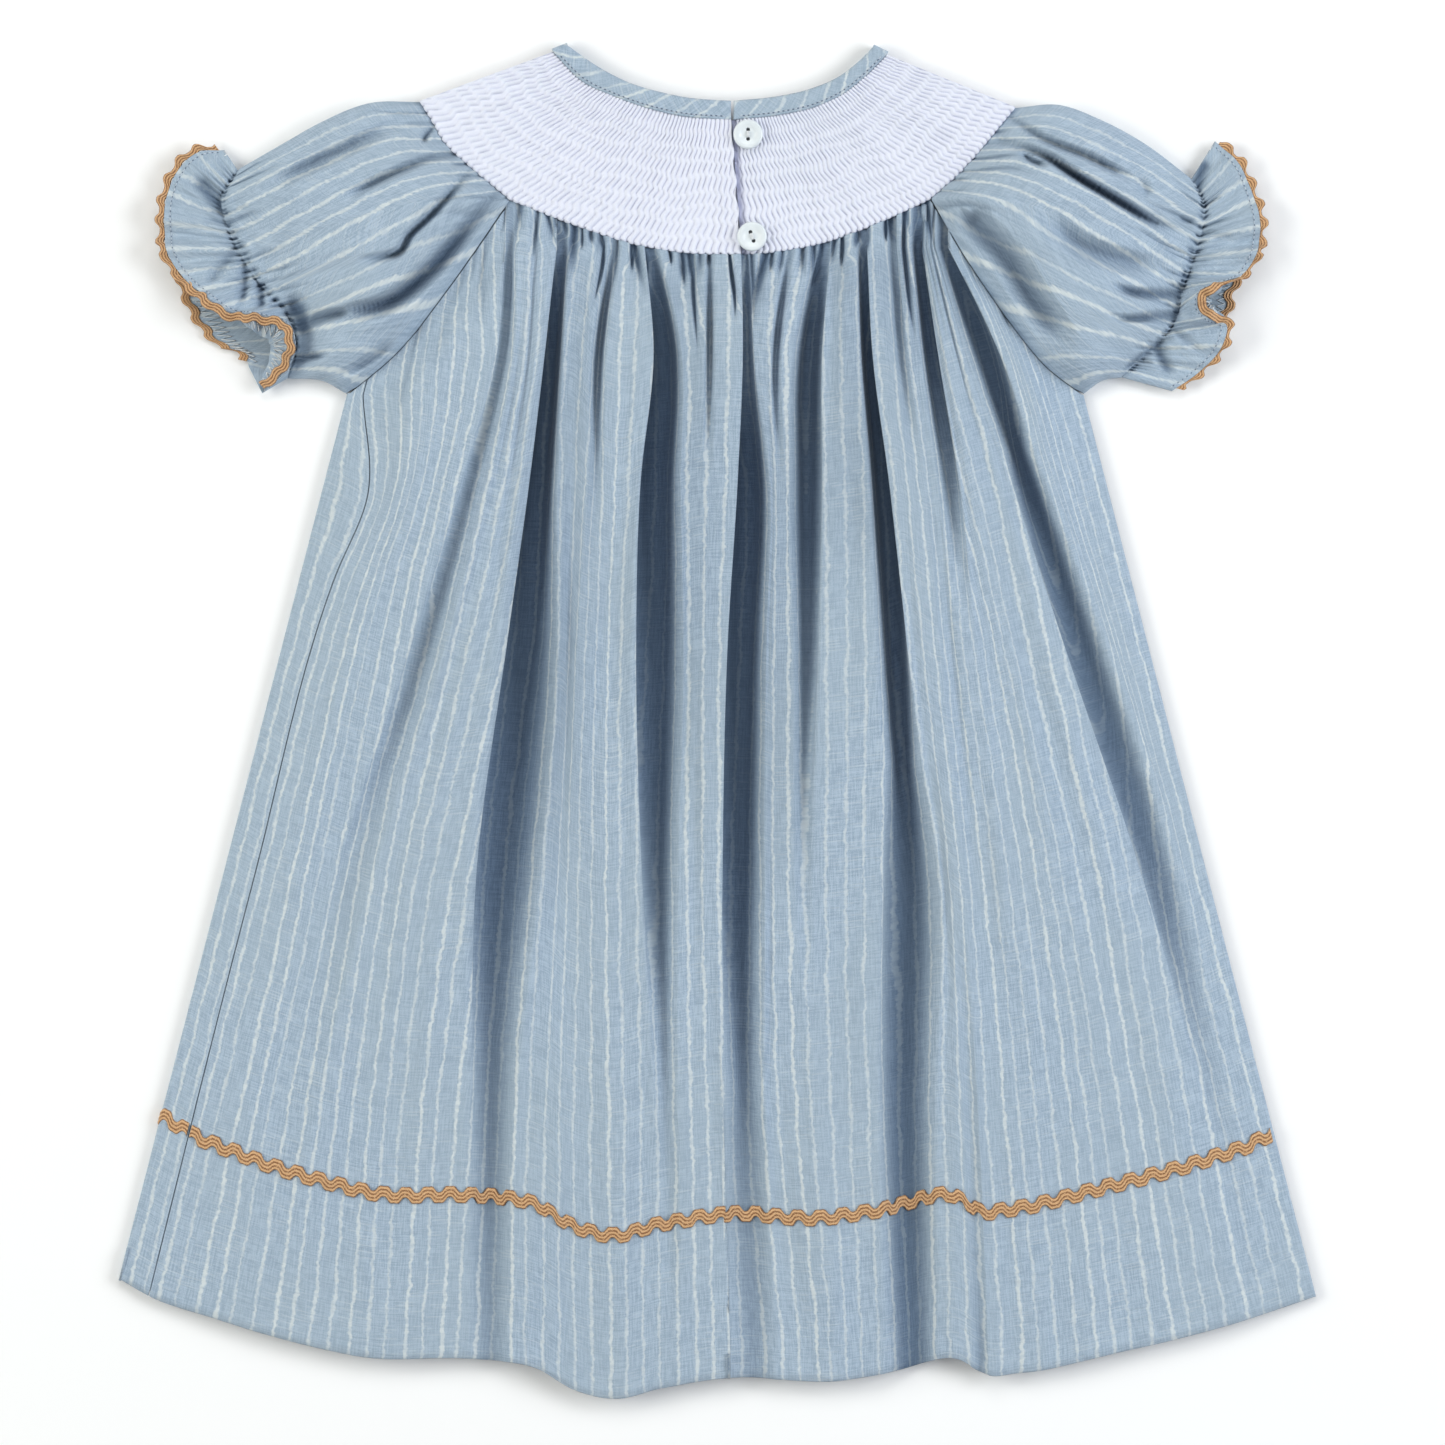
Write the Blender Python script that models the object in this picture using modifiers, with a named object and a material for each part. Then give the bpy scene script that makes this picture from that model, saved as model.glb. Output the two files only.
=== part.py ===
# A child's smocked bishop dress, laid flat on its front with the buttoned back on top.
# X runs to the right, Y towards the neck and Z up off the table.
# Sizes are in millimetres and become metres where the meshes are made.
import math

import bmesh
import bpy
import numpy as np

MM = 0.001

# Cloth and its layers
CLOTH = 1.0             # wall of the cotton
SEAM_GAP = 0.25         # each piece stops this far short of a seam
LOW_SIDE = 3.3          # height of two flat layers, to the top of the upper one
EDGE_TURN = 1.3         # how far a folded side edge rounds inwards
ARMPIT_Y = 123.7
SIDE_SLOPE = 0.258      # how far each side leans out for a millimetre down
LEFT_X = -143.1         # the sides at the height of the armpits
RIGHT_X = 137.5
FLAP_AT = (-240, -60, 55, 85, 124)
FLAP_WIDTH = (12, 11, 12.5, 17, 5)     # strip of the front panel that shows on top

# Skirt heights from the table at stations along Y, and the crown of its ridges
STATIONS = (-240, -140, -60, 30, 90, 140, 180)
RIDGE_HEIGHT = (6.0, 10.0, 14.0, 17.5, 19.0, 18.5, 14.0)
RISE = 42.0             # length over which the cloth swells away from its top seam
SEAM_RISE = 0.28        # share of the height that it has at the seam itself

# Each groove of the back skirt: its middle, half width and depth share at the stations.
# lean is -1 where its left lip is the steep one, and 1 where the right one is.
FOLDS = (
    dict(name="left_soft", lean=-1, middle=(-161, -148, -137, -112, -94.4, -82.3, -80.2),
         half=(5, 5, 5, 4.5, 3.5, 2.5, 2), depth=(0, 0, 0.25, 0.45, 0.5, 0.45, 0.5)),
    dict(name="left_deep", lean=-1, middle=(-88.4, -87.6, -84.2, -73.2, -68.8, -64, -60.6),
         half=(5.5, 6.2, 9, 7, 4, 3, 2.2), depth=(0.45, 0.75, 0.95, 1, 1, 0.9, 0.7)),
    dict(name="short_a", lean=0, middle=(-56, -56, -55, -52, -48, -46.6, -41.2),
         half=(3, 3, 3, 3, 2.5, 2.8, 2.2), depth=(0, 0, 0, 0, 0.12, 0.5, 0.6)),
    dict(name="inner_left", lean=-1, middle=(-19.2, -21.5, -24.9, -28.3, -24.9, -21.5, -27),
         half=(4, 4.5, 5.5, 6.6, 6, 4.5, 2.5), depth=(0, 0.2, 0.75, 0.95, 1, 0.9, 0.75)),
    dict(name="short_b", lean=0, middle=(1, -2, -5, -6, -5.5, -4.8, -4.8),
         half=(2, 2, 2, 2, 2, 2, 2), depth=(0, 0, 0, 0, 0, 0.3, 0.5)),
    dict(name="slit", lean=-1, middle=(11, 8, 7, 7.4, 10.8, 7.4, 8.6),
         half=(6, 6.4, 6.8, 5.4, 5.8, 3, 1.8), depth=(0.2, 0.65, 0.9, 1, 0.95, 0.85, 0.8)),
    dict(name="short_c", lean=0, middle=(24, 22, 21, 21, 21.5, 20.3, 25.7),
         half=(2, 2, 2, 2, 2, 2.2, 2), depth=(0, 0, 0, 0, 0, 0.35, 0.5)),
    dict(name="inner_right", lean=1, middle=(37.8, 34, 31, 32.1, 32.1, 32.5, 38),
         half=(3, 3, 3, 3.6, 5.6, 5.3, 3), depth=(0, 0, 0.05, 0.5, 0.8, 0.85, 0.7)),
    dict(name="right_deep", lean=1, middle=(72.4, 69.4, 69.4, 66.3, 59.9, 54.5, 53),
         half=(7.5, 9.8, 9.6, 5.5, 3, 2, 1.8), depth=(0.65, 0.85, 0.95, 1, 0.95, 0.75, 0.6)),
    dict(name="knife_fold", lean=1, middle=(97, 91, 87, 79.5, 74, 67.5, 64.3),
         half=(3, 3, 2.5, 2.5, 2.5, 2.2, 1.8), depth=(0.45, 0.3, 0, 0, 0, 0.25, 0.3)),
    dict(name="short_d", lean=1, middle=(122, 112, 104, 93, 86.1, 78.5, 73.6),
         half=(3, 3, 3, 3, 3, 2.8, 2), depth=(0, 0, 0, 0, 0.2, 0.75, 0.8)),
    dict(name="right_edge", lean=1, middle=(205, 186.4, 166.3, 136.6, 114.2, 99, 83.4),
         half=(4, 4, 4.8, 6.5, 6.2, 5.5, 2.2), depth=(0, 0.06, 0.45, 0.8, 0.9, 0.95, 0.75)),
)
GROOVE_STEPS = (-1, -0.55, 0, 0.55, 1)
GROOVE_SHARE = 0.25     # half a groove's share of the count from one fold to the next
SEAM_COLUMN = 0.2       # where the side seam lies in that count

# Rows of the skirt up from the hem, then shares of what is left up to the top seam
LOW_ROWS = (0, 28, 54, 57.5, 66.5, 70, 105)
TRIM_BAND = 3           # the rick-rack lies between this row and the next
HIGH_ROWS = (0.18, 0.36, 0.53, 0.68, 0.82, 0.93, 1)

# Edges in plan, left to right
HEM = ((-229, -212), (-217.6, -218.3), (-194.8, -225.9), (-160.6, -235.8), (-137.8, -240.7),
       (-92.2, -241.9), (-69.3, -245.7), (-58, -252.5), (-40.9, -256.7), (-23.8, -252.9),
       (-0.9, -249.1), (44.6, -249.8), (67.5, -246.1), (90.2, -241.9), (99.8, -247.5),
       (113, -247), (147.2, -240), (192.8, -228.9), (229, -217.2))
RAGLAN_LEFT = ((-143.1, 123.7), (-120.7, 143.1), (-103.5, 165.1), (-92.2, 181.1), (-80.4, 198.2))
YOKE_ARC = ((-80.4, 198.2), (-61.8, 190.9), (-31.4, 181.1), (5, 177.7), (37, 181.8), (60, 190),
            (78.8, 198.6))
RAGLAN_RIGHT = ((78.8, 198.6), (90.2, 179.2), (105.5, 156.4), (120.7, 137), (137.5, 123.7))
SHOULDER_ARC_LEFT = ((-80.4, 198.2), (-96, 211.1), (-105.5, 220.2), (-110.8, 229.3), (-115, 235.8))
SHOULDER_ARC_RIGHT = ((78.8, 198.6), (90.2, 208.8), (97.8, 217.2), (104.3, 225.2), (111.2, 233.5))

# Neck: both edges of the binding, from the opening out to each shoulder fold
BIND_LEFT_IN = ((3.2, 235.8), (-12.3, 236.9), (-23.8, 239.2), (-35.1, 242.6), (-46.5, 248.3),
                (-58.7, 256.7))
BIND_LEFT_OUT = ((3.2, 228.6), (-16.1, 230.1), (-31.4, 233.9), (-42.8, 238.1), (-52, 242.3),
                 (-64.4, 254.4))
BIND_RIGHT_IN = ((4.2, 235.8), (21.9, 237.7), (33.2, 240.3), (44.6, 245.3), (51.5, 250.6),
                 (57, 256.1))
BIND_RIGHT_OUT = ((4.2, 228.6), (21.9, 230.5), (35.1, 233.5), (46, 238.6), (54, 245), (62.4, 253.4))
FRONT_NECK_IN = ((-58.7, 256.7), (-40, 238), (0, 226), (40, 238), (57, 256.1))
FRONT_NECK_OUT = ((-64.4, 254.4), (-45, 231.5), (0, 218.6), (45, 231.5), (62.4, 253.4))
OPENING_TOP = (3.3, 228.6)
OPENING_FOOT = (7.2, 177.8)
YOKE_WALL = 2.5
YOKE_UNDER = 2.9        # underside of the back halves, clear of the front half
PLEATS = 37             # smocked pleats in each back half
PLEAT_HEIGHT = 0.8
PLEAT_SLANT = 0.5       # sideways swing from one stitched row to the next, in pleats
STITCH_ROWS = 8

# Sleeves: the elastic line from the underarm up, then rows of the ruffle's two edges
SLEEVES = dict(
    left=dict(
        elastic=((-165.5, 130.5), (-162.1, 143.1), (-166.6, 156.4), (-175, 165.9),
                 (-182.2, 176.9), (-187.5, 187.5), (-190.2, 198.2), (-184.5, 209.9)),
        under=((-143.1, 124.7), (-152, 129.5), (-165.5, 130.5)),
        over=((-115, 235.8), (-133.9, 235.4), (-153, 227.8), (-166, 220.5), (-184.5, 209.9)),
        upper_edge=((-175, 124.8, 2.6), (-165, 134.3, 9), (-161.8, 143.1, 12),
                    (-165, 151.1, 12.5), (-175, 154.1, 12), (-187.2, 155.6, 11),
                    (-196.3, 161.7, 9.5), (-204.6, 168.5, 8.5), (-210.7, 178.4, 7.5),
                    (-211.8, 189.8, 7), (-210.3, 202, 6.5), (-205.4, 211.1, 5.5),
                    (-198.6, 216.4, 4.5), (-189.4, 217.2, 3)),
        lower_edge=((-179.9, 133.6), (-182, 139.7), (-188.9, 142.7), (-197.2, 151.1),
                    (-202.8, 161.7), (-206.2, 174.6), (-206.8, 189.8), (-203.2, 203.4),
                    (-196.7, 211.6)),
        creases=(dict(name="deep", start=(-90, 196), bend=(-104, 172), end=(-136, 152),
                      half=8.5, depth=0.8),
                 dict(name="second", start=(-98, 207), bend=(-109, 181), end=(-137, 176),
                      half=6, depth=0.6),
                 dict(name="third", start=(-104, 215), bend=(-116, 213), end=(-132, 204),
                      half=5, depth=0.4),
                 dict(name="top", start=(-122, 228), bend=(-148, 218), end=(-178, 202),
                      half=6, depth=0.3),
                 dict(name="cuff", start=(-161, 160), bend=(-158, 151), end=(-146, 154),
                      half=5, depth=0.4))),
    right=dict(
        elastic=((151.8, 130.9), (165.5, 144.2), (172.3, 153.3), (174.6, 164), (178, 174.6),
                 (181.4, 184.9), (183, 196.3), (178.4, 206.5)),
        under=((137.5, 124.7), (144.5, 129.6), (151.8, 130.9)),
        over=((111.2, 233.5), (128, 234.6), (143.6, 229), (158.7, 221), (178.4, 206.5)),
        upper_edge=((170.8, 125.6, 2.6), (181.1, 132.8, 4.5), (189.4, 142.3, 6.5),
                    (191, 150.5, 9.5), (184.1, 152.4, 11), (179.9, 157.5, 12),
                    (180.7, 162.8, 11.5), (187.5, 166, 10.5), (196.7, 169.2, 9),
                    (203.1, 179.2, 7.5), (203.9, 189.8, 6.5), (200.8, 202, 5.5),
                    (195.9, 212.2, 4.5), (187.2, 220.6, 3)),
        lower_edge=((163.5, 129.5), (170, 134.5), (180.5, 142), (190, 152), (193, 163),
                    (197.8, 176.3), (198.9, 188.7), (195.2, 200.5), (188.5, 209)),
        creases=(dict(name="main", start=(105, 220), bend=(142, 201), end=(177, 186),
                      half=7, depth=0.8),
                 dict(name="upper", start=(111, 227), bend=(122, 224), end=(131, 213),
                      half=5, depth=0.5),
                 dict(name="broad", start=(124, 187), bend=(150, 178), end=(169, 166),
                      half=7, depth=0.35),
                 dict(name="lower", start=(98, 189), bend=(118, 174), end=(128, 134),
                      half=6.5, depth=0.5),
                 dict(name="inner", start=(88, 202), bend=(96, 191), end=(110, 178),
                      half=5, depth=0.45))),
)
ARMPIT_CLEAR = 1.0
CORNER_COLUMN = 13      # columns up the raglan seam to the yoke's corner, then up the arc
ARC_COLUMNS = 9
UNDER_COLUMNS = (20, 18, 16, 13, 10, 7, 4, 2)    # those that the flat lower layer keeps
SLEEVE_PUFF = 17.0
ELASTIC_HEIGHT = 7.5
RUFFLE_WAVES = 7
WAVE_HEIGHT = 1.3
RUFFLE_LIFT = 1.4       # the ruffle's lower edge clears the table by this much

# Rick-rack
TRIM_WIDTH = 3.3
TRIM_SWING = 1.55       # middle line to peak
TRIM_PITCH = 8.5
TRIM_THICK = 0.7
TRIM_CLEAR = 0.8
TRIM_OFF = 0.9          # from the edge of a ruffle to the near side of its rick-rack
TRIM_STOP = 3.0         # a run of it ends this far short of the ruffle's fold
CUFF_WIDTH = 2.0
CUFF_SWING = 0.9
UNDER_LIFT = 1.0        # the front panel passes over the rick-rack on its outer face
UNDER_CLEAR = 0.15
UNDER_PITCH = 24.0      # that hidden run is a plain strip in lengths of half this

BUTTONS = dict(button_top=(9.7, 222.9), button_bottom=(11.2, 184.1))
BUTTON_RADIUS = 5.6
BUTTON_THICK = 2.4
BUTTON_HOLE = 0.9
HOLE_SPREAD = 1.55

COLOURS = dict(
    cotton=((0.36, 0.46, 0.58), 0.85),
    yoke=((0.83, 0.82, 0.90), 0.8),
    trim=((0.60, 0.35, 0.15), 0.75),
    button=((0.84, 0.87, 0.88), 0.25),
)


def along(points, shares):
    """A smooth curve through the points, read at shares of its length."""
    points = np.asarray(points, float)
    steps = np.linalg.norm(np.diff(points[:, :2], axis=0), axis=1)
    place = np.concatenate(([0], np.cumsum(steps))) / steps.sum()
    return np.stack([through(place, points[:, axis], shares) for axis in range(points.shape[1])], -1)


def through(stations, values, at):
    """A cubic through the values at the stations, held flat past both ends."""
    stations = np.asarray(stations, float)
    values = np.asarray(values, float)
    slopes = np.gradient(values, stations)
    at = np.clip(at, stations[0], stations[-1])
    k = np.clip(np.searchsorted(stations, at) - 1, 0, len(stations) - 2)
    step = stations[k + 1] - stations[k]
    t = (at - stations[k]) / step
    return ((2 * t**3 - 3 * t**2 + 1) * values[k] + (t**3 - 2 * t**2 + t) * step * slopes[k]
            + (3 * t**2 - 2 * t**3) * values[k + 1] + (t**3 - t**2) * step * slopes[k + 1])


def ease(share):
    """Zero to one with flat ends."""
    share = np.clip(share, 0, 1)
    return share * share * (3 - 2 * share)


def top_edge(x):
    """Height along Y of the skirt's top seams: raglan, yoke, raglan."""
    left = through(*np.transpose(RAGLAN_LEFT), x)
    arc = through(*np.transpose(YOKE_ARC), x)
    right = through(*np.transpose(RAGLAN_RIGHT), x)
    return np.where(x < YOKE_ARC[0][0], left, np.where(x > YOKE_ARC[-1][0], right, arc))


def hem_edge(x):
    return through(*np.transpose(HEM), x)


def side_x(y, side):
    """The skirt's straight side edges."""
    reach = (ARMPIT_Y - y) * SIDE_SLOPE
    return LEFT_X - reach if side < 0 else RIGHT_X + reach


def column_marks():
    """Columns across the skirt, counted in folds from the left edge to the right edge."""
    last = len(FOLDS) + 1
    marks = [0, SEAM_COLUMN / 2, SEAM_COLUMN]
    marks += list(np.linspace(SEAM_COLUMN, 1 - GROOVE_SHARE, 5)[1:-1])
    for k in range(1, last):
        marks += [k + GROOVE_SHARE * t for t in GROOVE_STEPS]
        marks += [k + 0.5] if k < last - 1 else [k + 0.5, k + 0.75]
    return np.array(marks + [last])


def skirt_x(count, y):
    """Across the skirt: grooves keep their table's place, and ridges fill what is between."""
    left = side_x(y, -1) + EDGE_TURN
    flap = through(FLAP_AT, FLAP_WIDTH, y)
    knots = [0, SEAM_COLUMN]
    places = [left, left + flap]
    for k, fold in enumerate(FOLDS, 1):
        middle = through(STATIONS, fold["middle"], y)
        half = through(STATIONS, fold["half"], y)
        knots += [k - GROOVE_SHARE, k, k + GROOVE_SHARE]
        places += [middle - half, middle, middle + half]
    knots.append(len(FOLDS) + 1)
    places.append(side_x(y, 1) - 0.8)
    knots = np.array(knots, float)
    k = np.clip(np.searchsorted(knots, count, side="right") - 1, 0, len(knots) - 2)
    share = (count - knots[k]) / (knots[k + 1] - knots[k])
    places = np.stack(places)
    low = np.take_along_axis(places, k[None], 0)[0]
    high = np.take_along_axis(places, k[None] + 1, 0)[0]
    return low + (high - low) * share


def settle(count, edge, start):
    """Where each column meets an edge, found by stepping between x and y."""
    y = np.full(count.shape, float(start))
    for _ in range(30):
        y = 0.5 * (y + edge(skirt_x(count, y)))
    return y


def groove_share(count, y):
    """How deep the cloth dips at each point, from 0 on a ridge to 1 at the bottom of a full groove."""
    total = np.zeros(y.shape)
    for k, fold in enumerate(FOLDS, 1):
        t = (count - k) / GROOVE_SHARE
        low = 0.35 * fold["lean"]
        skew = np.where(t > low, (t - low) / (1 - low), (t - low) / (1 + low))
        shape = np.where(np.abs(t) < 1, 1 - np.abs(skew) ** 2.4, 0)
        total += shape * np.clip(through(STATIONS, fold["depth"], y), 0, 1)
    return total


def skirt_rows(count, hem_inset=0.0):
    """Y of every row down each column, from the hem to the top seam."""
    hem = settle(count, hem_edge, HEM[9][1]) + hem_inset
    top = settle(count, top_edge, ARMPIT_Y) - SEAM_GAP
    rows = [hem + low for low in LOW_ROWS]
    rows += [rows[len(LOW_ROWS) - 1] * (1 - high) + top * high for high in HIGH_ROWS]
    return np.stack(rows, -1), top


def skirt_top(count):
    """Outer face of the upper layer: a low dome, ridged and grooved, pinched at its top seam."""
    y, top = skirt_rows(count)
    counts = np.broadcast_to(count[:, None], y.shape)
    x = skirt_x(counts, y)
    across = 2 * (x - side_x(y, -1)) / (side_x(y, 1) - side_x(y, -1)) - 1
    dome = 1 - np.abs(across) ** 4
    swell = SEAM_RISE + (1 - SEAM_RISE) * ease((top[:, None] - y) / RISE)
    height = (through(STATIONS, RIDGE_HEIGHT, y) - LOW_SIDE) * dome * swell
    return np.stack([x, y, LOW_SIDE + height * (1 - groove_share(counts, y))], -1)


def grid_mesh(name, points, closed=False):
    """A sheet through a grid of points, wrapped round its first axis if closed."""
    across, down = points.shape[:2]
    mesh = bpy.data.meshes.new(name)
    index = np.arange(across * down).reshape(across, down)
    ahead = np.roll(index, -1, 0) if closed else index[1:]
    here = index if closed else index[:-1]
    faces = np.stack([here[:, :-1], ahead[:, :-1], ahead[:, 1:], here[:, 1:]], -1).reshape(-1, 4)
    mesh.from_pydata((points.reshape(-1, 3) * MM).tolist(), [], faces.tolist())
    return mesh


def material(kind):
    """One Principled finish for each kind of stuff."""
    if kind in bpy.data.materials:
        return bpy.data.materials[kind]
    colour, roughness = COLOURS[kind]
    finish = bpy.data.materials.new(kind)
    finish.use_nodes = True
    shader = finish.node_tree.nodes["Principled BSDF"]
    shader.inputs["Base Color"].default_value = (*colour, 1)
    shader.inputs["Roughness"].default_value = roughness
    shader.inputs["Metallic"].default_value = 0
    finish.diffuse_color = (*colour, 1)
    return finish


def add_piece(name, mesh, kind):
    piece = bpy.data.objects.new(name, mesh)
    dress.objects.link(piece)
    mesh.materials.append(material(kind))
    mesh.shade_smooth()
    return piece


def thicken(piece, wall, side=-1):
    """Gives a sheet its wall, inwards from the face that shows."""
    solid = piece.modifiers.new("wall", "SOLIDIFY")
    solid.thickness = wall * MM
    solid.offset = side
    solid.use_quality_normals = True


def make_skirt_back(count, face):
    """The gathered back panel, from the side seam to the right edge, which turns down."""
    panel = face[count >= SEAM_COLUMN].copy()
    panel[0, :, 0] += SEAM_GAP
    turn = panel[-1].copy()
    turn[:, 0] += 0.8
    turn[:, 2] = 1.95
    panel = np.concatenate([panel, turn[None]])
    thicken(add_piece("skirt_back", grid_mesh("skirt_back", panel), "cotton"), CLOTH)


def make_skirt_front(count, face):
    """The front panel: flat on the table, round the left edge and up to the side seam."""
    flap = face[count <= SEAM_COLUMN][::-1].copy()
    flap[0, :, 0] -= SEAM_GAP
    outer = flap[-1].copy()
    outer[:, 0] -= EDGE_TURN
    outer[:, 2] = LOW_SIDE / 2
    knees = [YOKE_ARC[0][0], YOKE_ARC[-1][0]]
    flat_x = np.concatenate([np.linspace(LEFT_X, knees[0], 7)[1:], np.linspace(*knees, 11)[1:],
                             np.linspace(knees[1], RIGHT_X - 1.2, 7)[1:]])
    top = np.stack([flat_x, top_edge(flat_x) - SEAM_GAP], -1)
    spread = (flat_x - LEFT_X) / (RIGHT_X - LEFT_X)
    hem_x = side_x(HEM[0][1], -1) + spread * (side_x(HEM[-1][1], 1) - side_x(HEM[0][1], -1))
    hem = np.stack([hem_x, hem_edge(hem_x) + 1.5], -1)
    lift = np.zeros(len(LOW_ROWS) + len(HIGH_ROWS))
    lift[TRIM_BAND:TRIM_BAND + 2] = UNDER_LIFT
    start = flap[-1].copy()
    start[:, 2] = lift
    columns = [start]
    for upper, lower in zip(top, hem):
        y = np.array([lower[1] + low for low in LOW_ROWS])
        y = np.concatenate([y, y[-1] * (1 - np.array(HIGH_ROWS)) + upper[1] * np.array(HIGH_ROWS)])
        share = (y - lower[1]) / (upper[1] - lower[1])
        x = lower[0] + (upper[0] - lower[0]) * share
        columns.append(np.stack([x, y, lift], -1))
    panel = np.concatenate([flap, outer[None], np.stack(columns)])
    piece = add_piece("skirt_front", grid_mesh("skirt_front", panel[::-1]), "cotton")
    thicken(piece, CLOTH)
    return np.stack(columns)


def coons(inner, outer, under, over, u, v):
    """A patch inside four edges: u runs from the armhole to the cuff, v from under to over."""
    u = u[:, None, None]
    w = v[None, :, None]
    corners = ((1 - u) * (1 - w) * inner[0] + u * (1 - w) * outer[0]
               + (1 - u) * w * inner[-1] + u * w * outer[-1])
    sides = (1 - w) * under[:, None] + w * over[:, None]
    return (1 - u) * inner[None] + u * outer[None] + sides - corners


def crease_share(x, y, creases):
    """Soft troughs along bent lines: a bump of each one's width round its path."""
    total = np.zeros(x.shape)
    t = np.linspace(0, 1, 25)[:, None]
    for crease in creases:
        start, bend, end = (np.array(crease[key]) for key in ("start", "bend", "end"))
        path = (1 - t) ** 2 * start + 2 * t * (1 - t) * bend + t**2 * end
        away = np.sqrt((x[..., None] - path[:, 0]) ** 2 + (y[..., None] - path[:, 1]) ** 2).min(-1)
        near = np.clip(1 - (away / crease["half"]) ** 2, 0, 1)
        total = np.maximum(total, crease["depth"] * near**1.2)
    return total


def raglan_reader(side):
    """Fine points of a raglan seam, by x."""
    ends = RAGLAN_LEFT if side == "left" else RAGLAN_RIGHT
    x = np.linspace(ends[0][0], ends[-1][0], 200)
    return x, through(*np.transpose(ends), x)


def armhole(side):
    """The sleeve's inner seam from the armpit up: the raglan line, then the yoke's shoulder arc."""
    raglan, arc = ((RAGLAN_LEFT, SHOULDER_ARC_LEFT) if side == "left"
                   else (RAGLAN_RIGHT[::-1], SHOULDER_ARC_RIGHT))
    x = np.linspace(raglan[0][0], raglan[-1][0], CORNER_COLUMN + 1)
    seam = np.stack([x, np.interp(x, *raglan_reader(side))], -1)
    seam[0, 1] += ARMPIT_CLEAR
    return np.concatenate([seam, along(arc, np.linspace(0, 1, ARC_COLUMNS + 1)[1:])])


def make_sleeve(side):
    """A flattened puff from the armhole to the elastic, and the flared ruffle past it."""
    sizes = SLEEVES[side]
    inner = armhole(side)
    across = np.linspace(0, 1, len(inner))
    lengths = np.array([0.004, 0.08, 0.2, 0.36, 0.54, 0.72, 0.87, 1])
    outer = along(sizes["elastic"], across)
    under = along(sizes["under"], lengths)
    over = along(sizes["over"], lengths)
    plan = coons(inner, outer, under, over, lengths, across)
    round_over = np.sqrt(np.clip(1 - (2 * across - 1) ** 2, 0, 1))[None, :]
    armhole_height = 2.1
    puff = armhole_height + (SLEEVE_PUFF - armhole_height) * np.sin(
        math.pi * np.clip(lengths, 0, 1) ** 0.8)
    puff = np.maximum(puff, np.where(lengths > 0.5, ELASTIC_HEIGHT - LOW_SIDE, 0))[:, None]
    height = puff * round_over * (1 - crease_share(plan[..., 0], plan[..., 1], sizes["creases"]))
    body = np.concatenate([plan, (LOW_SIDE + height)[..., None]], -1)
    flat = plan[:, list(UNDER_COLUMNS)]
    flat = np.concatenate([flat, np.zeros(flat.shape[:2] + (1,))], -1)
    rings = np.concatenate([body, flat], 1)
    rings[:, [0, len(inner) - 1], 2] = LOW_SIDE / 2
    upper = along(sizes["upper_edge"], across)
    lower = along(sizes["lower_edge"], across[list(UNDER_COLUMNS)])
    lower = np.concatenate([lower, np.full((len(lower), 1), RUFFLE_LIFT)], -1)
    edge = np.concatenate([upper, lower])
    flare = np.array([0.3, 0.65, 1])[:, None, None]
    ruffle = rings[-1] + (edge - rings[-1]) * flare
    waves = np.sin(2 * math.pi * RUFFLE_WAVES * across) * WAVE_HEIGHT * np.sin(math.pi * across)
    ruffle[:, :len(inner), 2] += waves[None] * flare[..., 0]
    rings = np.concatenate([rings, ruffle])
    grid = rings.transpose(1, 0, 2)
    if side == "right":
        grid = grid[::-1]
    name = "sleeve_" + side
    thicken(add_piece(name, grid_mesh(name, grid, closed=True), "cotton"), CLOTH)
    return rings


def make_cuff_trim(name, edge, inside):
    """Rick-rack along one run of a ruffle's edge, swinging in and out just past the cloth."""
    outward = edge - inside
    for _ in range(2):
        outward /= np.linalg.norm(outward, axis=1)[:, None]
        outward[1:-1] += 0.5 * (outward[2:] + outward[:-2])
    outward /= np.linalg.norm(outward, axis=1)[:, None]
    steps = np.linalg.norm(np.diff(edge, axis=0), axis=1)
    place = np.concatenate(([0], np.cumsum(steps)))
    count = 2 * round(place[-1] / TRIM_PITCH)
    at = np.linspace(TRIM_STOP, place[-1] - TRIM_STOP, count)
    points = np.stack([np.interp(at, place, edge[:, axis]) for axis in range(3)], -1)
    ways = np.stack([np.interp(at, place, outward[:, axis]) for axis in range(3)], -1)
    swing = np.where(np.arange(count) % 2, CUFF_SWING, -CUFF_SWING)[:, None]
    strip = np.stack([points + ways * TRIM_OFF, points + ways * (TRIM_OFF + CUFF_WIDTH + swing)], 1)
    thicken(add_piece(name, grid_mesh(name, strip), "trim"), TRIM_THICK, side=0)


def grid_reader(face, columns, row):
    """Reads a panel's own faceted points between its columns, at a row counted in rows."""
    low = np.floor(row).astype(int)
    share = (row - low)[:, None]
    left = np.clip(np.floor(columns).astype(int), 0, len(face) - 2)
    part = (columns - left)[:, None]
    near = face[left, low] * (1 - share) + face[left, low + 1] * share
    far = face[left + 1, low] * (1 - share) + face[left + 1, low + 1] * share
    return near * (1 - part) + far * part


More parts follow.
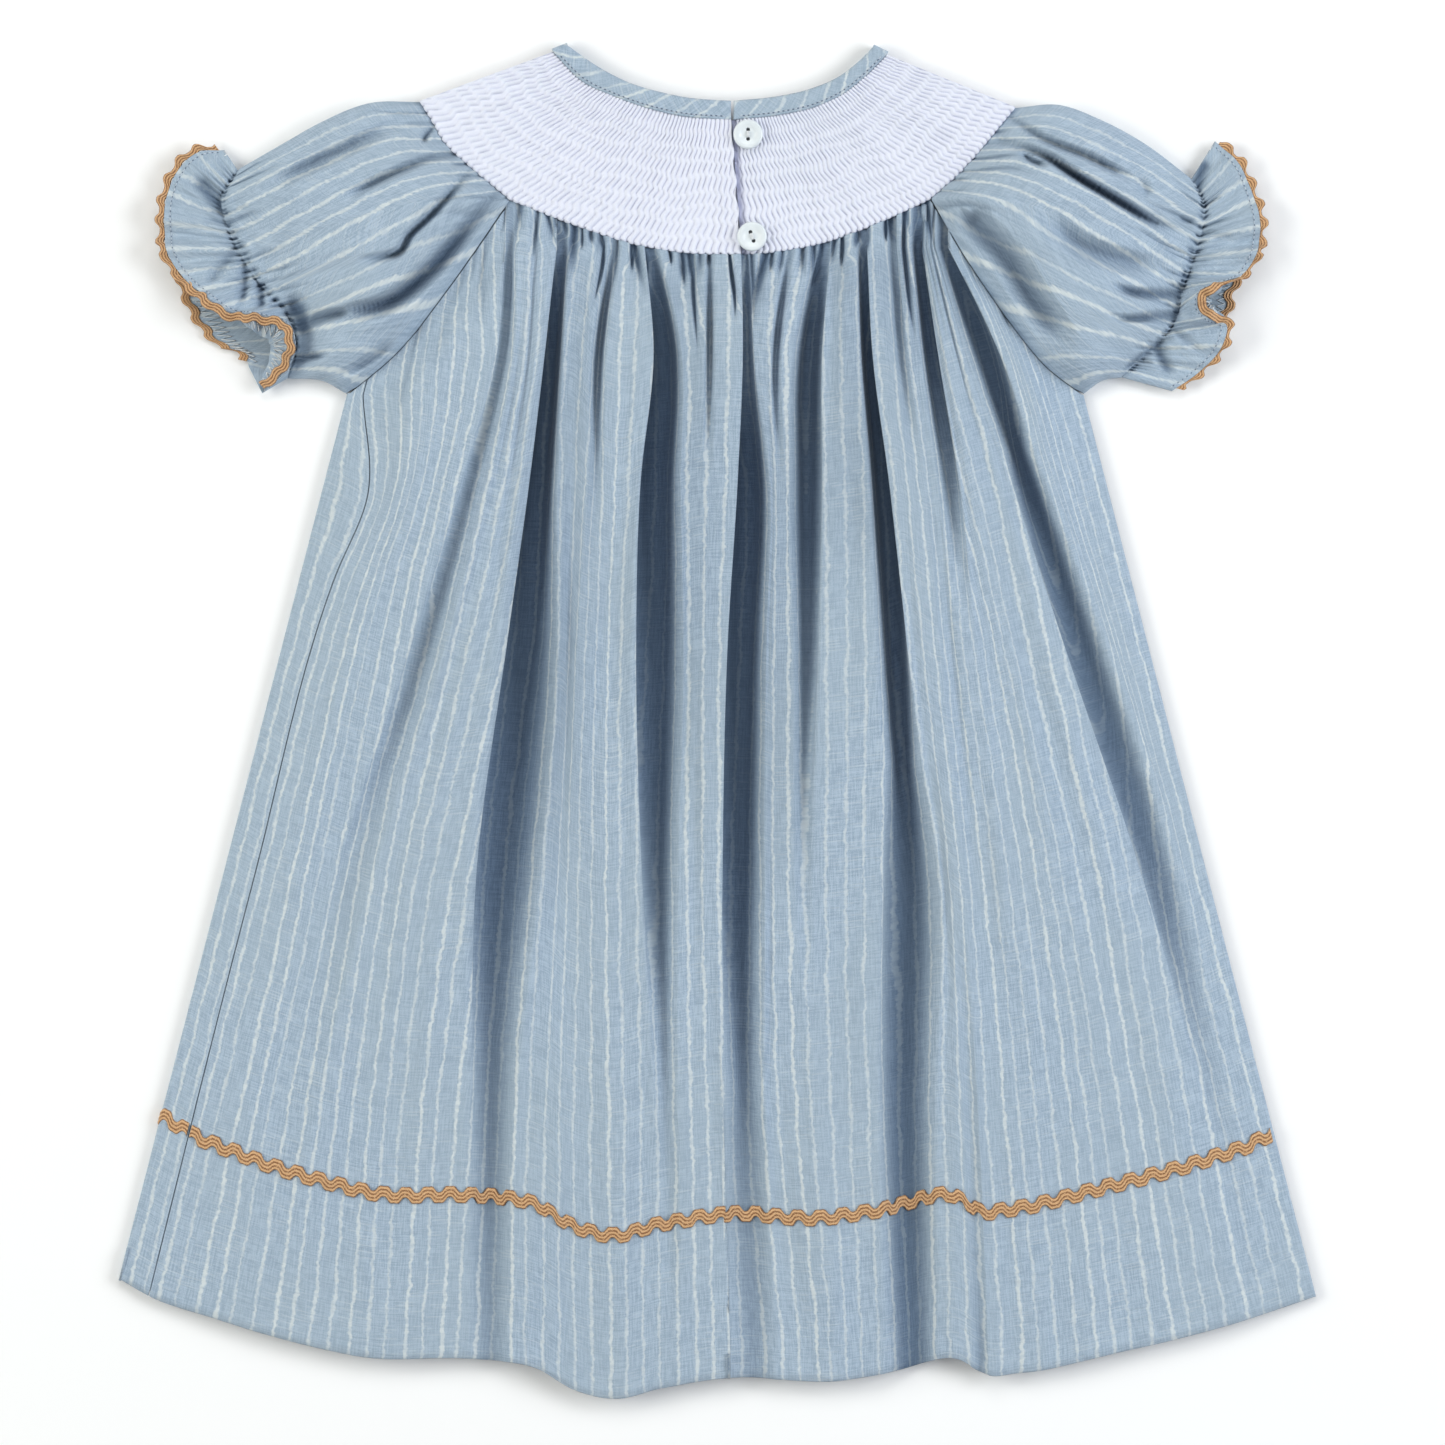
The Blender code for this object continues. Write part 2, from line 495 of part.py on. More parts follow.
def make_hem_trim(name, face, clear, side, pitch, swing):
    """Rick-rack on a panel, from the panel's own points moved out from its face."""
    band = TRIM_BAND
    middle = face[:, band] * 0.5 + face[:, band + 1] * 0.5
    steps = np.linalg.norm(np.diff(middle, axis=0), axis=1)
    place = np.concatenate(([0], np.cumsum(steps)))
    count = 2 * round(place[-1] / pitch)
    at = np.linspace(0, place[-1], count + 1)[1:-1]
    columns = np.interp(at, place, np.arange(len(face)))
    swing = np.where(np.arange(len(at)) % 2, swing, -swing)
    band_height = LOW_ROWS[band + 1] - LOW_ROWS[band]
    edges = []
    for offset in (-TRIM_WIDTH / 2, TRIM_WIDTH / 2):
        row = band + 0.5 + (swing + offset) / band_height
        edges.append(grid_reader(face, columns, row))
    strip = np.stack(edges, 1)
    away = np.cross(np.gradient(strip.mean(1), axis=0), strip[:, 1] - strip[:, 0])
    away /= np.linalg.norm(away, axis=1)[:, None]
    away *= np.sign(away[:, 2:]) * side
    strip += away[:, None] * clear
    if side < 0:
        strip = strip[::-1]
    thicken(add_piece(name, grid_mesh(name, strip), "trim"), TRIM_THICK, side=1)


def inset_loop(points, gap):
    """Moves a closed outline inwards by the seam gap."""
    ahead = np.roll(points, -1, 0) - points
    behind = points - np.roll(points, 1, 0)
    ahead /= np.linalg.norm(ahead, axis=1)[:, None]
    behind /= np.linalg.norm(behind, axis=1)[:, None]
    inward = np.stack([-(ahead + behind)[:, 1], (ahead + behind)[:, 0]], -1)
    inward /= np.linalg.norm(inward, axis=1)[:, None]
    area = np.sum(points[:, 0] * np.roll(points[:, 1], -1) - points[:, 1] * np.roll(points[:, 0], -1))
    return points + inward * gap * np.sign(area)


def make_yoke_front():
    """The hidden front half: a plain flat round of cloth under the two back halves."""
    x = np.linspace(YOKE_ARC[0][0], YOKE_ARC[-1][0], 25)[1:]
    arc = np.stack([x, through(*np.transpose(YOKE_ARC), x)], -1)
    lower = np.concatenate([along(SHOULDER_ARC_LEFT[::-1], np.linspace(0, 1, 9)), arc,
                            along(SHOULDER_ARC_RIGHT, np.linspace(0, 1, 9))[1:]])
    neck = along(FRONT_NECK_OUT[::-1], np.linspace(0, 1, 33))
    outline = inset_loop(np.concatenate([lower, neck]), SEAM_GAP + 0.1)
    mesh = bpy.data.meshes.new("yoke_front")
    corners = [(x * MM, y * MM, YOKE_WALL * MM) for x, y in outline]
    mesh.from_pydata(corners, [], [list(range(len(corners)))])
    thicken(add_piece("yoke_front", mesh, "yoke"), YOKE_WALL)


def yoke_half_edges(side, shares):
    """Neck edge and lower edge of one back half, both from the opening to the shoulder."""
    neck, shoulder = ((BIND_LEFT_OUT, SHOULDER_ARC_LEFT) if side == "left"
                      else (BIND_RIGHT_OUT, SHOULDER_ARC_RIGHT))
    foot = OPENING_FOOT[0]
    x = np.linspace(YOKE_ARC[0][0], YOKE_ARC[-1][0], 121)
    whole = np.stack([x, through(*np.transpose(YOKE_ARC), x)], -1)
    keep = whole[whole[:, 0] <= foot][::-1] if side == "left" else whole[whole[:, 0] >= foot]
    line = np.concatenate([keep, along(shoulder, np.linspace(0, 1, 21))[1:]])
    steps = np.linalg.norm(np.diff(line, axis=0), axis=1)
    place = np.concatenate(([0], np.cumsum(steps))) / steps.sum()
    lower = np.stack([np.interp(shares, place, line[:, axis]) for axis in range(2)], -1)
    return along(neck, shares), lower


def make_yoke_half(side):
    """A smocked half: pleats raised on its face, swinging from row to row, over a plain inside."""
    shares = np.linspace(0, 1, 2 * PLEATS + 1)
    rows = np.linspace(0, 1, STITCH_ROWS + 1)
    neck, lower = yoke_half_edges(side, shares)
    opening = np.array([OPENING_TOP, OPENING_FOOT])
    shift = SEAM_GAP if side == "right" else -SEAM_GAP
    neck[0] = opening[0] + (shift, 0)
    lower[0] = opening[1] + (shift, 0)
    swing = np.where(np.arange(len(rows)) % 2, 0.5, -0.5) * PLEAT_SLANT / (2 * PLEATS) * 2
    swing[[0, -1]] = 0
    step = np.gradient(neck, shares, axis=0)[:, None] * (1 - rows)[None, :, None]
    step = step + np.gradient(lower, shares, axis=0)[:, None] * rows[None, :, None]
    plan = neck[:, None] * (1 - rows)[None, :, None] + lower[:, None] * rows[None, :, None]
    plan[2:-2] += (step * swing[None, :, None])[2:-2]
    across = (lower - neck) / np.linalg.norm(lower - neck, axis=1)[:, None]
    plan[:, 0] += across * (SEAM_GAP + 0.1)
    plan[:, -1] -= across * (SEAM_GAP + 0.1)
    plan[-1] += (plan[-2] - plan[-1]) * 0.15
    raised = np.where(np.arange(len(shares)) % 2, PLEAT_HEIGHT, 0.0)[:, None]
    height = np.broadcast_to(YOKE_UNDER + YOKE_WALL - PLEAT_HEIGHT / 2 + raised, plan.shape[:2])
    face = np.concatenate([plan, height[..., None]], -1)
    name = "yoke_back_" + side
    face = face if side == "right" else face[::-1]
    mesh = grid_mesh(name, face[:, ::-1])
    close_underneath(mesh, YOKE_UNDER)
    add_piece(name, mesh, "yoke")


def close_underneath(mesh, level):
    """Drops walls from a sheet's rim to one flat inner face."""
    work = bmesh.new()
    work.from_mesh(mesh)
    rim = [edge for edge in work.edges if edge.is_boundary]
    grown = bmesh.ops.extrude_edge_only(work, edges=rim)["geom"]
    for vert in (item for item in grown if isinstance(item, bmesh.types.BMVert)):
        vert.co.z = level * MM
    lower = [item for item in grown if isinstance(item, bmesh.types.BMEdge) and item.is_boundary]
    bmesh.ops.edgeloop_fill(work, edges=lower)
    bmesh.ops.recalc_face_normals(work, faces=work.faces)
    work.to_mesh(mesh)
    work.free()


def make_binding():
    """One folded strip round the neck: over the back, round each shoulder fold, along the front."""
    share = np.linspace(0, 1, 13)
    front = np.linspace(0, 1, 23)
    back_low, back_high = YOKE_UNDER, YOKE_UNDER + YOKE_WALL + 0.4
    front_low, front_high = YOKE_WALL, 0.0
    turn_out = dict(left=np.array((-0.37, 0.93)), right=np.array((0.45, 0.89)))
    sections = []

    def strip(inner, outer, low, high):
        """Five corners: the rounded neck edge, then the outer and the inner face."""
        for top, foot in zip(inner, outer):
            inside = top + (foot - top) * 0.12
            middle = (low + high) / 2
            sections.append([(*top, middle), (*inside, high), (*foot, high), (*foot, low),
                             (*inside, low)])

    def turn(inner, outer, way):
        """The fold at a shoulder, where the outer face swings round the inner one."""
        level = (back_low + front_low) / 2
        inside = inner + (outer - inner) * 0.12
        corners = [(inner, 0.9), (inside, 1.5), (outer, 1.5), (outer, 0.15), (inside, 0.15)]
        sections.append([(*(point + way * reach), level) for point, reach in corners])

    strip(along(BIND_LEFT_IN, share), along(BIND_LEFT_OUT, share), back_low, back_high)
    turn(np.array(BIND_LEFT_IN[-1]), np.array(BIND_LEFT_OUT[-1]), turn_out["left"])
    strip(along(FRONT_NECK_IN, front), along(FRONT_NECK_OUT, front), front_low, front_high)
    turn(np.array(BIND_RIGHT_IN[-1]), np.array(BIND_RIGHT_OUT[-1]), turn_out["right"])
    strip(along(BIND_RIGHT_IN, share)[::-1], along(BIND_RIGHT_OUT, share)[::-1], back_low, back_high)
    rings = np.array(sections)
    mesh = grid_mesh("neck_binding", rings.transpose(1, 0, 2), closed=True)
    work = bmesh.new()
    work.from_mesh(mesh)
    bmesh.ops.holes_fill(work, edges=[edge for edge in work.edges if edge.is_boundary])
    bmesh.ops.recalc_face_normals(work, faces=work.faces)
    work.to_mesh(mesh)
    work.free()
    add_piece("neck_binding", mesh, "cotton")


def make_button(name, place):
    """A flat two-hole button, its holes one above the other."""
    x, y = place
    z = YOKE_UNDER + YOKE_WALL + PLEAT_HEIGHT / 2 + 0.4 + 0.3 + BUTTON_THICK / 2
    bpy.ops.mesh.primitive_cylinder_add(vertices=20, radius=BUTTON_RADIUS * MM,
                                        depth=BUTTON_THICK * MM, location=(x * MM, y * MM, z * MM))
    button = bpy.context.object
    button.name = name
    button.data.name = name
    rounding = button.modifiers.new("rounding", "BEVEL")
    rounding.width = 0.5 * MM
    rounding.segments = 2
    for k, way in enumerate((1, -1)):
        bpy.ops.mesh.primitive_cylinder_add(
            vertices=8, radius=BUTTON_HOLE * MM, depth=3 * BUTTON_THICK * MM,
            location=(x * MM, (y + way * HOLE_SPREAD) * MM, z * MM))
        cutter = bpy.context.object
        cutter.name = f"{name}_hole_{k}"
        cutter.hide_render = True
        cutter.display_type = "WIRE"
        move_to(cutter, cutters)
        hole = button.modifiers.new("hole", "BOOLEAN")
        hole.operation = "DIFFERENCE"
        hole.object = cutter
    move_to(button, dress)
    button.data.materials.append(material("button"))
    button.data.shade_smooth()
    button.data.set_sharp_from_angle(angle=math.radians(40))


def move_to(piece, collection):
    for other in piece.users_collection:
        other.objects.unlink(piece)
    collection.objects.link(piece)


def centre_all():
    """Moves every piece so that the whole dress stands on Z = 0 round the middle of its box."""
    bpy.context.view_layer.update()
    graph = bpy.context.evaluated_depsgraph_get()
    corners = []
    for piece in dress.objects:
        solid = piece.evaluated_get(graph)
        box = [solid.matrix_world @ vert.co for vert in solid.to_mesh().vertices]
        corners += [[min(point[k] for point in box) for k in range(3)],
                    [max(point[k] for point in box) for k in range(3)]]
        solid.to_mesh_clear()
    low, high = np.min(corners, 0), np.max(corners, 0)
    shift = np.array([(low[0] + high[0]) / 2, (low[1] + high[1]) / 2, low[2]])
    for piece in list(dress.objects) + list(cutters.objects):
        piece.location = np.array(piece.location) - shift


for old in list(bpy.data.objects):
    bpy.data.objects.remove(old, do_unlink=True)
dress = bpy.data.collections.new("smocked_dress")
cutters = bpy.data.collections.new("cutters")
bpy.context.scene.collection.children.link(dress)
bpy.context.scene.collection.children.link(cutters)

marks = column_marks()
upper_face = skirt_top(marks)
make_skirt_back(marks, upper_face)
front_columns = make_skirt_front(marks, upper_face)
make_hem_trim("hem_trim_back", upper_face, TRIM_CLEAR, 1, TRIM_PITCH, TRIM_SWING)
make_hem_trim("hem_trim_front", front_columns, UNDER_CLEAR, -1, UNDER_PITCH, 0)
for sleeve_side in SLEEVES:
    sleeve_rings = make_sleeve(sleeve_side)
    upper_run = slice(0, CORNER_COLUMN + ARC_COLUMNS + 1)
    lower_run = slice(CORNER_COLUMN + ARC_COLUMNS + 1, None)
    for run_name, run in (("cuff_trim_", upper_run), ("cuff_trim_inner_", lower_run)):
        make_cuff_trim(run_name + sleeve_side, sleeve_rings[-1, run], sleeve_rings[-2, run])
make_yoke_front()
make_yoke_half("left")
make_yoke_half("right")
make_binding()
for button_name, button_place in BUTTONS.items():
    make_button(button_name, button_place)
centre_all()
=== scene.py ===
import math

import bpy
import numpy as np
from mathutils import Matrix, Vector


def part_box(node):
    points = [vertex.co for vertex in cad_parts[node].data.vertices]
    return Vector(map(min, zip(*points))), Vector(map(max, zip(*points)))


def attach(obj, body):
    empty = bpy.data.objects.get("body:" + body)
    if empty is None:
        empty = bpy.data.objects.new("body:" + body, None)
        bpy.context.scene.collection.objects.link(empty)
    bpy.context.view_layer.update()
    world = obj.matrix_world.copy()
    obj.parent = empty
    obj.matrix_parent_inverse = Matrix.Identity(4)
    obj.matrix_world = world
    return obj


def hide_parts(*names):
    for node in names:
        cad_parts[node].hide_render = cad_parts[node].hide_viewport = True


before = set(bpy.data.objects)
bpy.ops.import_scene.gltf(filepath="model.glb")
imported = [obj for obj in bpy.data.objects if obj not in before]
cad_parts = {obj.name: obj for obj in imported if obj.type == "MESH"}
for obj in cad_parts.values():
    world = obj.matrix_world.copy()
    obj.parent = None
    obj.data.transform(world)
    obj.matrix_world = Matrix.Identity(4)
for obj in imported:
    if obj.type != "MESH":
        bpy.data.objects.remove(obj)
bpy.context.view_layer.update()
mm = 0.001


def table(columns, rows):
    # one dictionary for each row, with the columns' names
    return [dict(zip(columns.split(), row)) for row in rows]


# The sizes below are in millimetres, round the middle of the picture: X right, Y towards the neck,
# Z up off the table. The frame's own middle is found from the top button.
buttonPlaces = dict(button_top=(9.7, 222.9), button_bottom=(11.2, 184.1))
buttonLow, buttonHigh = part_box("button_top")
shift = np.array([(buttonLow.x + buttonHigh.x) * 500 - buttonPlaces["button_top"][0],
                  (buttonLow.y + buttonHigh.y) * 500 - buttonPlaces["button_top"][1], 0.0])

skirt = dict(
    tableGap=0.06,            # how far the underside stays clear of the table
    lowSide=3.3,              # height of two flat layers
    lowest=2.4,               # the back never sinks into the front below it
    edgeTurn=1.3,             # how far a folded side rounds inwards
    rightTurn=0.8,            # the back's own turned edge at the right side
    armpitY=123.7, sideSlope=0.258, leftX=-143.1, rightX=137.5,
    flapAt=(-240, -60, 55, 85, 124), flapWidth=(12, 11, 12.5, 17, 5),
    stations=(-240, -140, -60, 30, 90, 140, 180),
    ridgeHeight=(9.0, 11.5, 14.5, 18.5, 20.5, 20, 15),
    softWiden=(0.5, 0.45, 0.4, 0.35, 0.25, 0.15, 0.1),   # how far a sharp fold's soft side is drawn out
    flankReach=20.0, flankDip=1.6,   # beyond it the cloth still sinks a little, and is given a little painted shade
    rise=30.0, seamRise=0.3,  # the cloth swells away from its top seam
    grooveShare=0.25, seamColumn=0.2, seamGap=0.25,
    overhang=2.0,             # how far a fold's lip leans out over its groove
    wall=1.0, hemTurn=11.0,
    trimAbove=62.0,           # rick-rack's middle line above the hem
    rowStep=3.0, sideColumns=6,
    dentShare=0.85,           # no dent is deeper than this share of the height
    softFade=7, flankFade=8, shadeFade=3.5,   # heights below which unevenness, sinking and painted shade fade
    dentShade=3.0,            # a dent this deep is given the full painted shade
)
# Each fold's groove at the stations: the side that its sharp lip leans to, middle, half width and depth
folds = table("name lean middle half depth", (
    ("leftSoft", -0.5, (-175, -160.5, -141.5, -112, -94.4, -82.3, -80.2), (6, 6, 6, 5.5, 4.5, 3, 2),
     (0, 0.1, 0.28, 0.4, 0.34, 0.32, 0.45)),
    ("leftDeep", (0, -0.25, -0.8, -1, -1, -1, -1), (-88.4, -87.6, -84.2, -74.4, -68.8, -64, -60.6),
     (8, 8, 9.2, 7, 4.2, 3, 2.2), (0.5, 0.72, 0.92, 1, 1, 0.9, 0.7)),
    ("shortA", 0, (-56, -56, -55, -52, -48, -46.6, -41.2), (3, 3, 3, 3, 3, 2.8, 2.2),
     (0, 0, 0, 0, 0.1, 0.4, 0.5)),
    ("innerLeft", (0, 0, -0.6, -1, -1, -1, -1), (-19.2, -21.5, -24.9, -26, -24.9, -21.5, -27),
     (4, 4.5, 5.5, 6.6, 6, 4.5, 2.5), (0.05, 0.32, 0.75, 0.95, 1, 0.9, 0.75)),
    ("shortB", 0, (1, -2, -5, -6, -5.5, -4.8, -4.8), (2, 2, 2, 2, 2, 2, 2), (0, 0, 0, 0, 0, 0.3, 0.5)),
    ("slit", (0, 0, -0.8, -1, -1, -1, -1), (12, 8, 6, 7.4, 10.5, 9.5, 8.6), (10, 8, 6, 5.4, 4.8, 1.8, 1.5),
     (0.48, 0.74, 0.95, 1, 0.95, 0.5, 0.7)),
    ("shortC", 0, (34, 22.5, 21, 21, 21.5, 20.3, 25.7), (1.5, 2, 2, 2, 2, 2.2, 2),
     (0, 0, 0, 0, 0, 0.3, 0.45)),
    ("innerRight", 0.4, (42, 35, 31, 32.1, 32.1, 32.5, 38), (3, 3, 3, 4.2, 5.6, 5.3, 3),
     (0, 0, 0.12, 0.5, 0.72, 0.82, 0.7)),
    ("rightDeep", (0, -0.25, -0.35, 0.5, 1, 1, 1), (72, 69, 70, 64.9, 59.9, 54.5, 53),
     (10.5, 10, 9.8, 4.7, 3, 2, 1.8), (0.95, 1, 1, 1, 0.95, 0.75, 0.6)),
    ("knifeFold", (0.2, 0.5, 1, 1, 1, 1, 1), (98, 94, 89, 79.5, 74, 67.5, 64.3),
     (3, 2.5, 2, 2.5, 2.5, 2.2, 1.8), (0.4, 0.15, 0, 0, 0, 0.2, 0.3)),
    ("shortD", 1, (122, 112, 104, 93, 86.1, 78.5, 73.6), (3, 3, 3, 3, 3.2, 2.8, 2),
     (0, 0, 0, 0, 0.4, 0.75, 0.8)),
    ("rightEdge", (0, -0.2, -0.55, -0.6, -0.2, 0.7, 1), (205, 186.4, 165.8, 135.8, 115.6, 99, 83.4),
     (6, 6, 6.4, 6.8, 6.4, 5.5, 2.2), (0.05, 0.35, 0.8, 0.98, 1, 0.95, 0.75)),
))
# Short pleats just below the yoke: place at the seam, place and distance where they end
gathers = table("top foot reach half deep", (
    (-76.8, -78.5, 15, 1.5, 2.8), (-70, -72, 9, 1.2, 1.6), (-66.5, -62.5, 14, 1.4, 2.6),
    (-56, -58.5, 24, 1.7, 3.4), (-46.5, -47, 10, 1.2, 2.0), (-33.5, -29, 22, 1.6, 3.2),
    (-12.5, -10.5, 15, 1.6, 4.0), (-8.5, -9, 12, 1.3, 2.2), (16.5, 9.5, 28, 1.8, 3.4),
    (30.5, 30, 14, 1.3, 2.8), (34.5, 34.2, 17, 1.2, 3.0), (42.5, 41, 13, 1.3, 2.4),
    (63.5, 65.5, 16, 1.4, 2.6), (69.5, 71, 12, 1.2, 2.2), (77, 80.5, 22, 1.5, 3.6),
))
# Long waves in the cloth: size across, seed, how fast they change along it, and height
softWaves = table("size seed along height", ((34, 4, 0.45, 0.35), (13, 9, 0.6, 0.14)))
fluteWaves = table("size seed along height", ((27, 33, 0.1, 1.3), (12, 35, 0.14, 0.4)))
hemLine = ((-229, -212), (-217.6, -218.3), (-194.8, -225.9), (-160.6, -235.8), (-137.8, -240.7),
           (-92.2, -241.9), (-69.3, -245.7), (-58, -252.5), (-40.9, -256.7), (-23.8, -252.9),
           (-0.9, -249.1), (44.6, -249.8), (67.5, -246.1), (90.2, -241.9), (99.8, -247.5),
           (113, -247), (147.2, -240), (192.8, -228.9), (229, -217.2))
raglanLeft = ((-143.1, 123.7), (-120.7, 143.1), (-103.5, 165.1), (-92.2, 181.1), (-80.4, 198.2))
yokeArc = ((-80.4, 198.2), (-61.8, 190.9), (-31.4, 181.1), (5, 177.7), (37, 181.8), (60, 190), (78.8, 198.6))
raglanRight = ((78.8, 198.6), (90.2, 179.2), (105.5, 156.4), (120.7, 137), (137.5, 123.7))
shoulderLeft = ((-80.4, 198.2), (-96, 211.1), (-105.5, 220.2), (-110.8, 229.3), (-115, 235.8))
shoulderRight = ((78.8, 198.6), (90.2, 208.8), (97.8, 217.2), (104.3, 225.2), (111.2, 233.5))


def through(stations, values, at):
    # a cubic through the values at the stations, held flat past both ends
    stations, values = np.asarray(stations, float), np.asarray(values, float)
    slopes = np.gradient(values, stations)
    at = np.clip(at, stations[0], stations[-1])
    k = np.clip(np.searchsorted(stations, at) - 1, 0, len(stations) - 2)
    step = stations[k + 1] - stations[k]
    t = (at - stations[k]) / step
    return ((2 * t**3 - 3 * t**2 + 1) * values[k] + (t**3 - 2 * t**2 + t) * step * slopes[k]
            + (3 * t**2 - 2 * t**3) * values[k + 1] + (t**3 - t**2) * step * slopes[k + 1])


def heightAt(points, x):
    # the y of a line of points, as a cubic in x
    return through(*np.transpose(points), x)


def along(points, shares):
    # a smooth curve through the points, read at shares of its length
    points = np.asarray(points, float)
    steps = np.linalg.norm(np.diff(points[:, :2], axis=0), axis=1)
    at = np.concatenate(([0], np.cumsum(steps))) / steps.sum()
    return np.stack([through(at, points[:, axis], shares) for axis in range(points.shape[1])], -1)


def ease(share):
    # 0 to 1 with flat ends: 3t^2 - 2t^3
    share = np.clip(share, 0, 1)
    return share * share * (3 - 2 * share)


def rumple(a, b, size, seed):
    # soft unevenness from about -1 to 1: twelve slanted waves about this many mm long, over five
    dice = np.random.default_rng(seed)
    total = np.zeros(np.broadcast(a, b).shape)
    for _ in range(12):
        angle, phase, stretch = dice.uniform(0, 2 * math.pi, 2).tolist() + [dice.uniform(0.7, 1.6)]
        wave = 2 * math.pi / (size * stretch)
        total += np.sin(wave * (a * math.cos(angle) + b * math.sin(angle)) + phase)
    return total / 5


def roll(across, run, waves):
    # the sum of the waves in a table, each an unevenness times its height
    return sum(rumple(across, run * one["along"], one["size"], one["seed"]) * one["height"] for one in waves)


def unit(vectors):
    # each vector over its own length
    return vectors / np.maximum(np.linalg.norm(vectors, axis=-1, keepdims=True), 1e-9)


def lengths(points, axis):
    # distance run along a grid of points from its first line
    steps = np.linalg.norm(np.diff(points, axis=axis), axis=-1)
    start = np.zeros_like(np.take(steps, [0], axis))
    return np.concatenate([start, np.cumsum(steps, axis)], axis)


def readLine(line, run, at):
    # the points of a line at distances along it
    return np.stack([np.interp(at, run, line[:, k]) for k in range(line.shape[1])], -1)


def facing(points):
    # unit normal of a grid: the cross product of its two directions
    return unit(np.cross(np.gradient(points, axis=0), np.gradient(points, axis=1)))


def readGrid(grid, first, second):
    # values between the points of a grid, at fractional places along both its axes
    i = np.clip(np.floor(first).astype(int), 0, grid.shape[0] - 2)
    j = np.clip(np.floor(second).astype(int), 0, grid.shape[1] - 2)
    a, b = (first - i)[..., None], (second - j)[..., None]
    return ((grid[i, j] * (1 - a) + grid[i + 1, j] * a) * (1 - b)
            + (grid[i, j + 1] * (1 - a) + grid[i + 1, j + 1] * a) * b)


def gridFaces(rows, columns, wrap):
    # the four corners of each cell of a grid, closed round its first axis if it wraps
    index = np.arange(rows * columns).reshape(rows, columns)
    ahead = np.roll(index, -1, 0) if wrap else index[1:]
    here = index if wrap else index[:-1]
    return np.stack([here[:, :-1], ahead[:, :-1], ahead[:, 1:], here[:, 1:]], -1).reshape(-1, 4)


def addPiece(name, points, nodes, material, cloth=None, fold=None, wrap=False, groups=1):
    # points is a grid in mm, or a stack of equal grids; cloth is each point's place on the flat cloth,
    # and fold is the painted shade of each point, which is most where it lies deep in a fold
    points = np.asarray(points, float)
    grids = points.reshape((groups,) + points.shape[-3:])
    rows, columns = grids.shape[1:3]
    starts = np.arange(groups) * rows * columns
    faces = (gridFaces(rows, columns, wrap)[None] + starts[:, None, None]).reshape(-1, 4)
    flat = (grids.reshape(-1, 3) + shift) * mm
    mesh = bpy.data.meshes.new(name)
    mesh.vertices.add(len(flat))
    mesh.vertices.foreach_set("co", flat.ravel())
    mesh.loops.add(faces.size)
    mesh.loops.foreach_set("vertex_index", faces.ravel().astype(np.int32))
    mesh.polygons.add(len(faces))
    mesh.polygons.foreach_set("loop_start", np.arange(0, faces.size, 4, dtype=np.int32))
    mesh.polygons.foreach_set("loop_total", np.full(len(faces), 4, np.int32))
    mesh.update(calc_edges=True)
    if cloth is not None:
        # where it wraps, the last strip of faces runs on past the first line of points
        corners = gridFaces(rows + 1, columns, False) if wrap else faces
        places = np.asarray(cloth).reshape(-1, 2)[corners.ravel()]
        mesh.uv_layers.new(name="cloth").data.foreach_set("uv", places.ravel())
    # the fold attribute holds painted shade, which the materials darken their colour by
    if fold is not None:
        shade = mesh.attributes.new("fold", "FLOAT", "POINT")
        shade.data.foreach_set("value", np.asarray(fold, float).ravel())
    mesh.shade_smooth()
    mesh.materials.append(material)
    piece = bpy.data.objects.new(name, mesh)
    bpy.context.scene.collection.objects.link(piece)
    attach(piece, "root")
    if nodes:
        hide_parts(*nodes)
    return piece


class Wire:
    # a value in a material's nodes, which adds and multiplies as a number does
    def __init__(self, tree, socket):
        self.tree, self.socket = tree, socket

    def math(self, operation, *others):
        # one node that does this to the wire and the others
        node = self.tree.nodes.new("ShaderNodeMath")
        node.operation = operation
        for k, value in enumerate((self, *others)):
            plug(self.tree, node.inputs[k], value)
        return Wire(self.tree, node.outputs[0])

    def ramp(self, low, high, start=0.0, end=1.0):
        # a smooth step: start below low, end above high
        return addNode(self.tree, "ShaderNodeMapRange", "Result", dict(interpolation_type="SMOOTHSTEP"),
                       Value=self, From_Min=low, From_Max=high, To_Min=start, To_Max=end)

    def __add__(self, other):
        return self.math("ADD", other)

    def __sub__(self, other):
        return self.math("SUBTRACT", other)

    def __mul__(self, other):
        return self.math("MULTIPLY", other)

    def __truediv__(self, other):
        return self.math("DIVIDE", other)


def plug(tree, socket, value):
    # a wire is linked to the socket, and a number or colour is set on it
    if isinstance(value, Wire):
        tree.links.new(value.socket, socket)
    else:
        socket.default_value = (*value, 1) if isinstance(value, tuple) else value


def addNode(tree, kind, outlet, settings=None, **inputs):
    # a new node with these settings and inputs, given as the wire from one of its outlets
    node = tree.nodes.new(kind)
    for key, value in (settings or {}).items():
        setattr(node, key, value)
    for key, value in inputs.items():
        plug(tree, node.inputs[key.replace("_", " ")], value)
    return Wire(tree, node.outputs[outlet])


def newMaterial(name, roughness, specular=0.3, sheen=0.0):
    # a new material with these looks, and its nodes
    made = bpy.data.materials.new(name)
    made.use_nodes = True
    looks = {"Roughness": roughness, "Specular IOR Level": specular, "Sheen Weight": sheen, "Sheen Roughness": 0.5}
    for key, value in looks.items():
        made.node_tree.nodes["Principled BSDF"].inputs[key].default_value = value
    return made, made.node_tree


def paint(tree, colour, height=None, depth=0.0, strength=1.0):
    # the colour, and a bump of this depth in metres where a height is given
    shader = tree.nodes["Principled BSDF"]
    plug(tree, shader.inputs["Base Color"], colour)
    if height is not None:
        bump = addNode(tree, "ShaderNodeBump", "Normal", Strength=strength, Distance=depth, Height=height)
        plug(tree, shader.inputs["Normal"], bump)


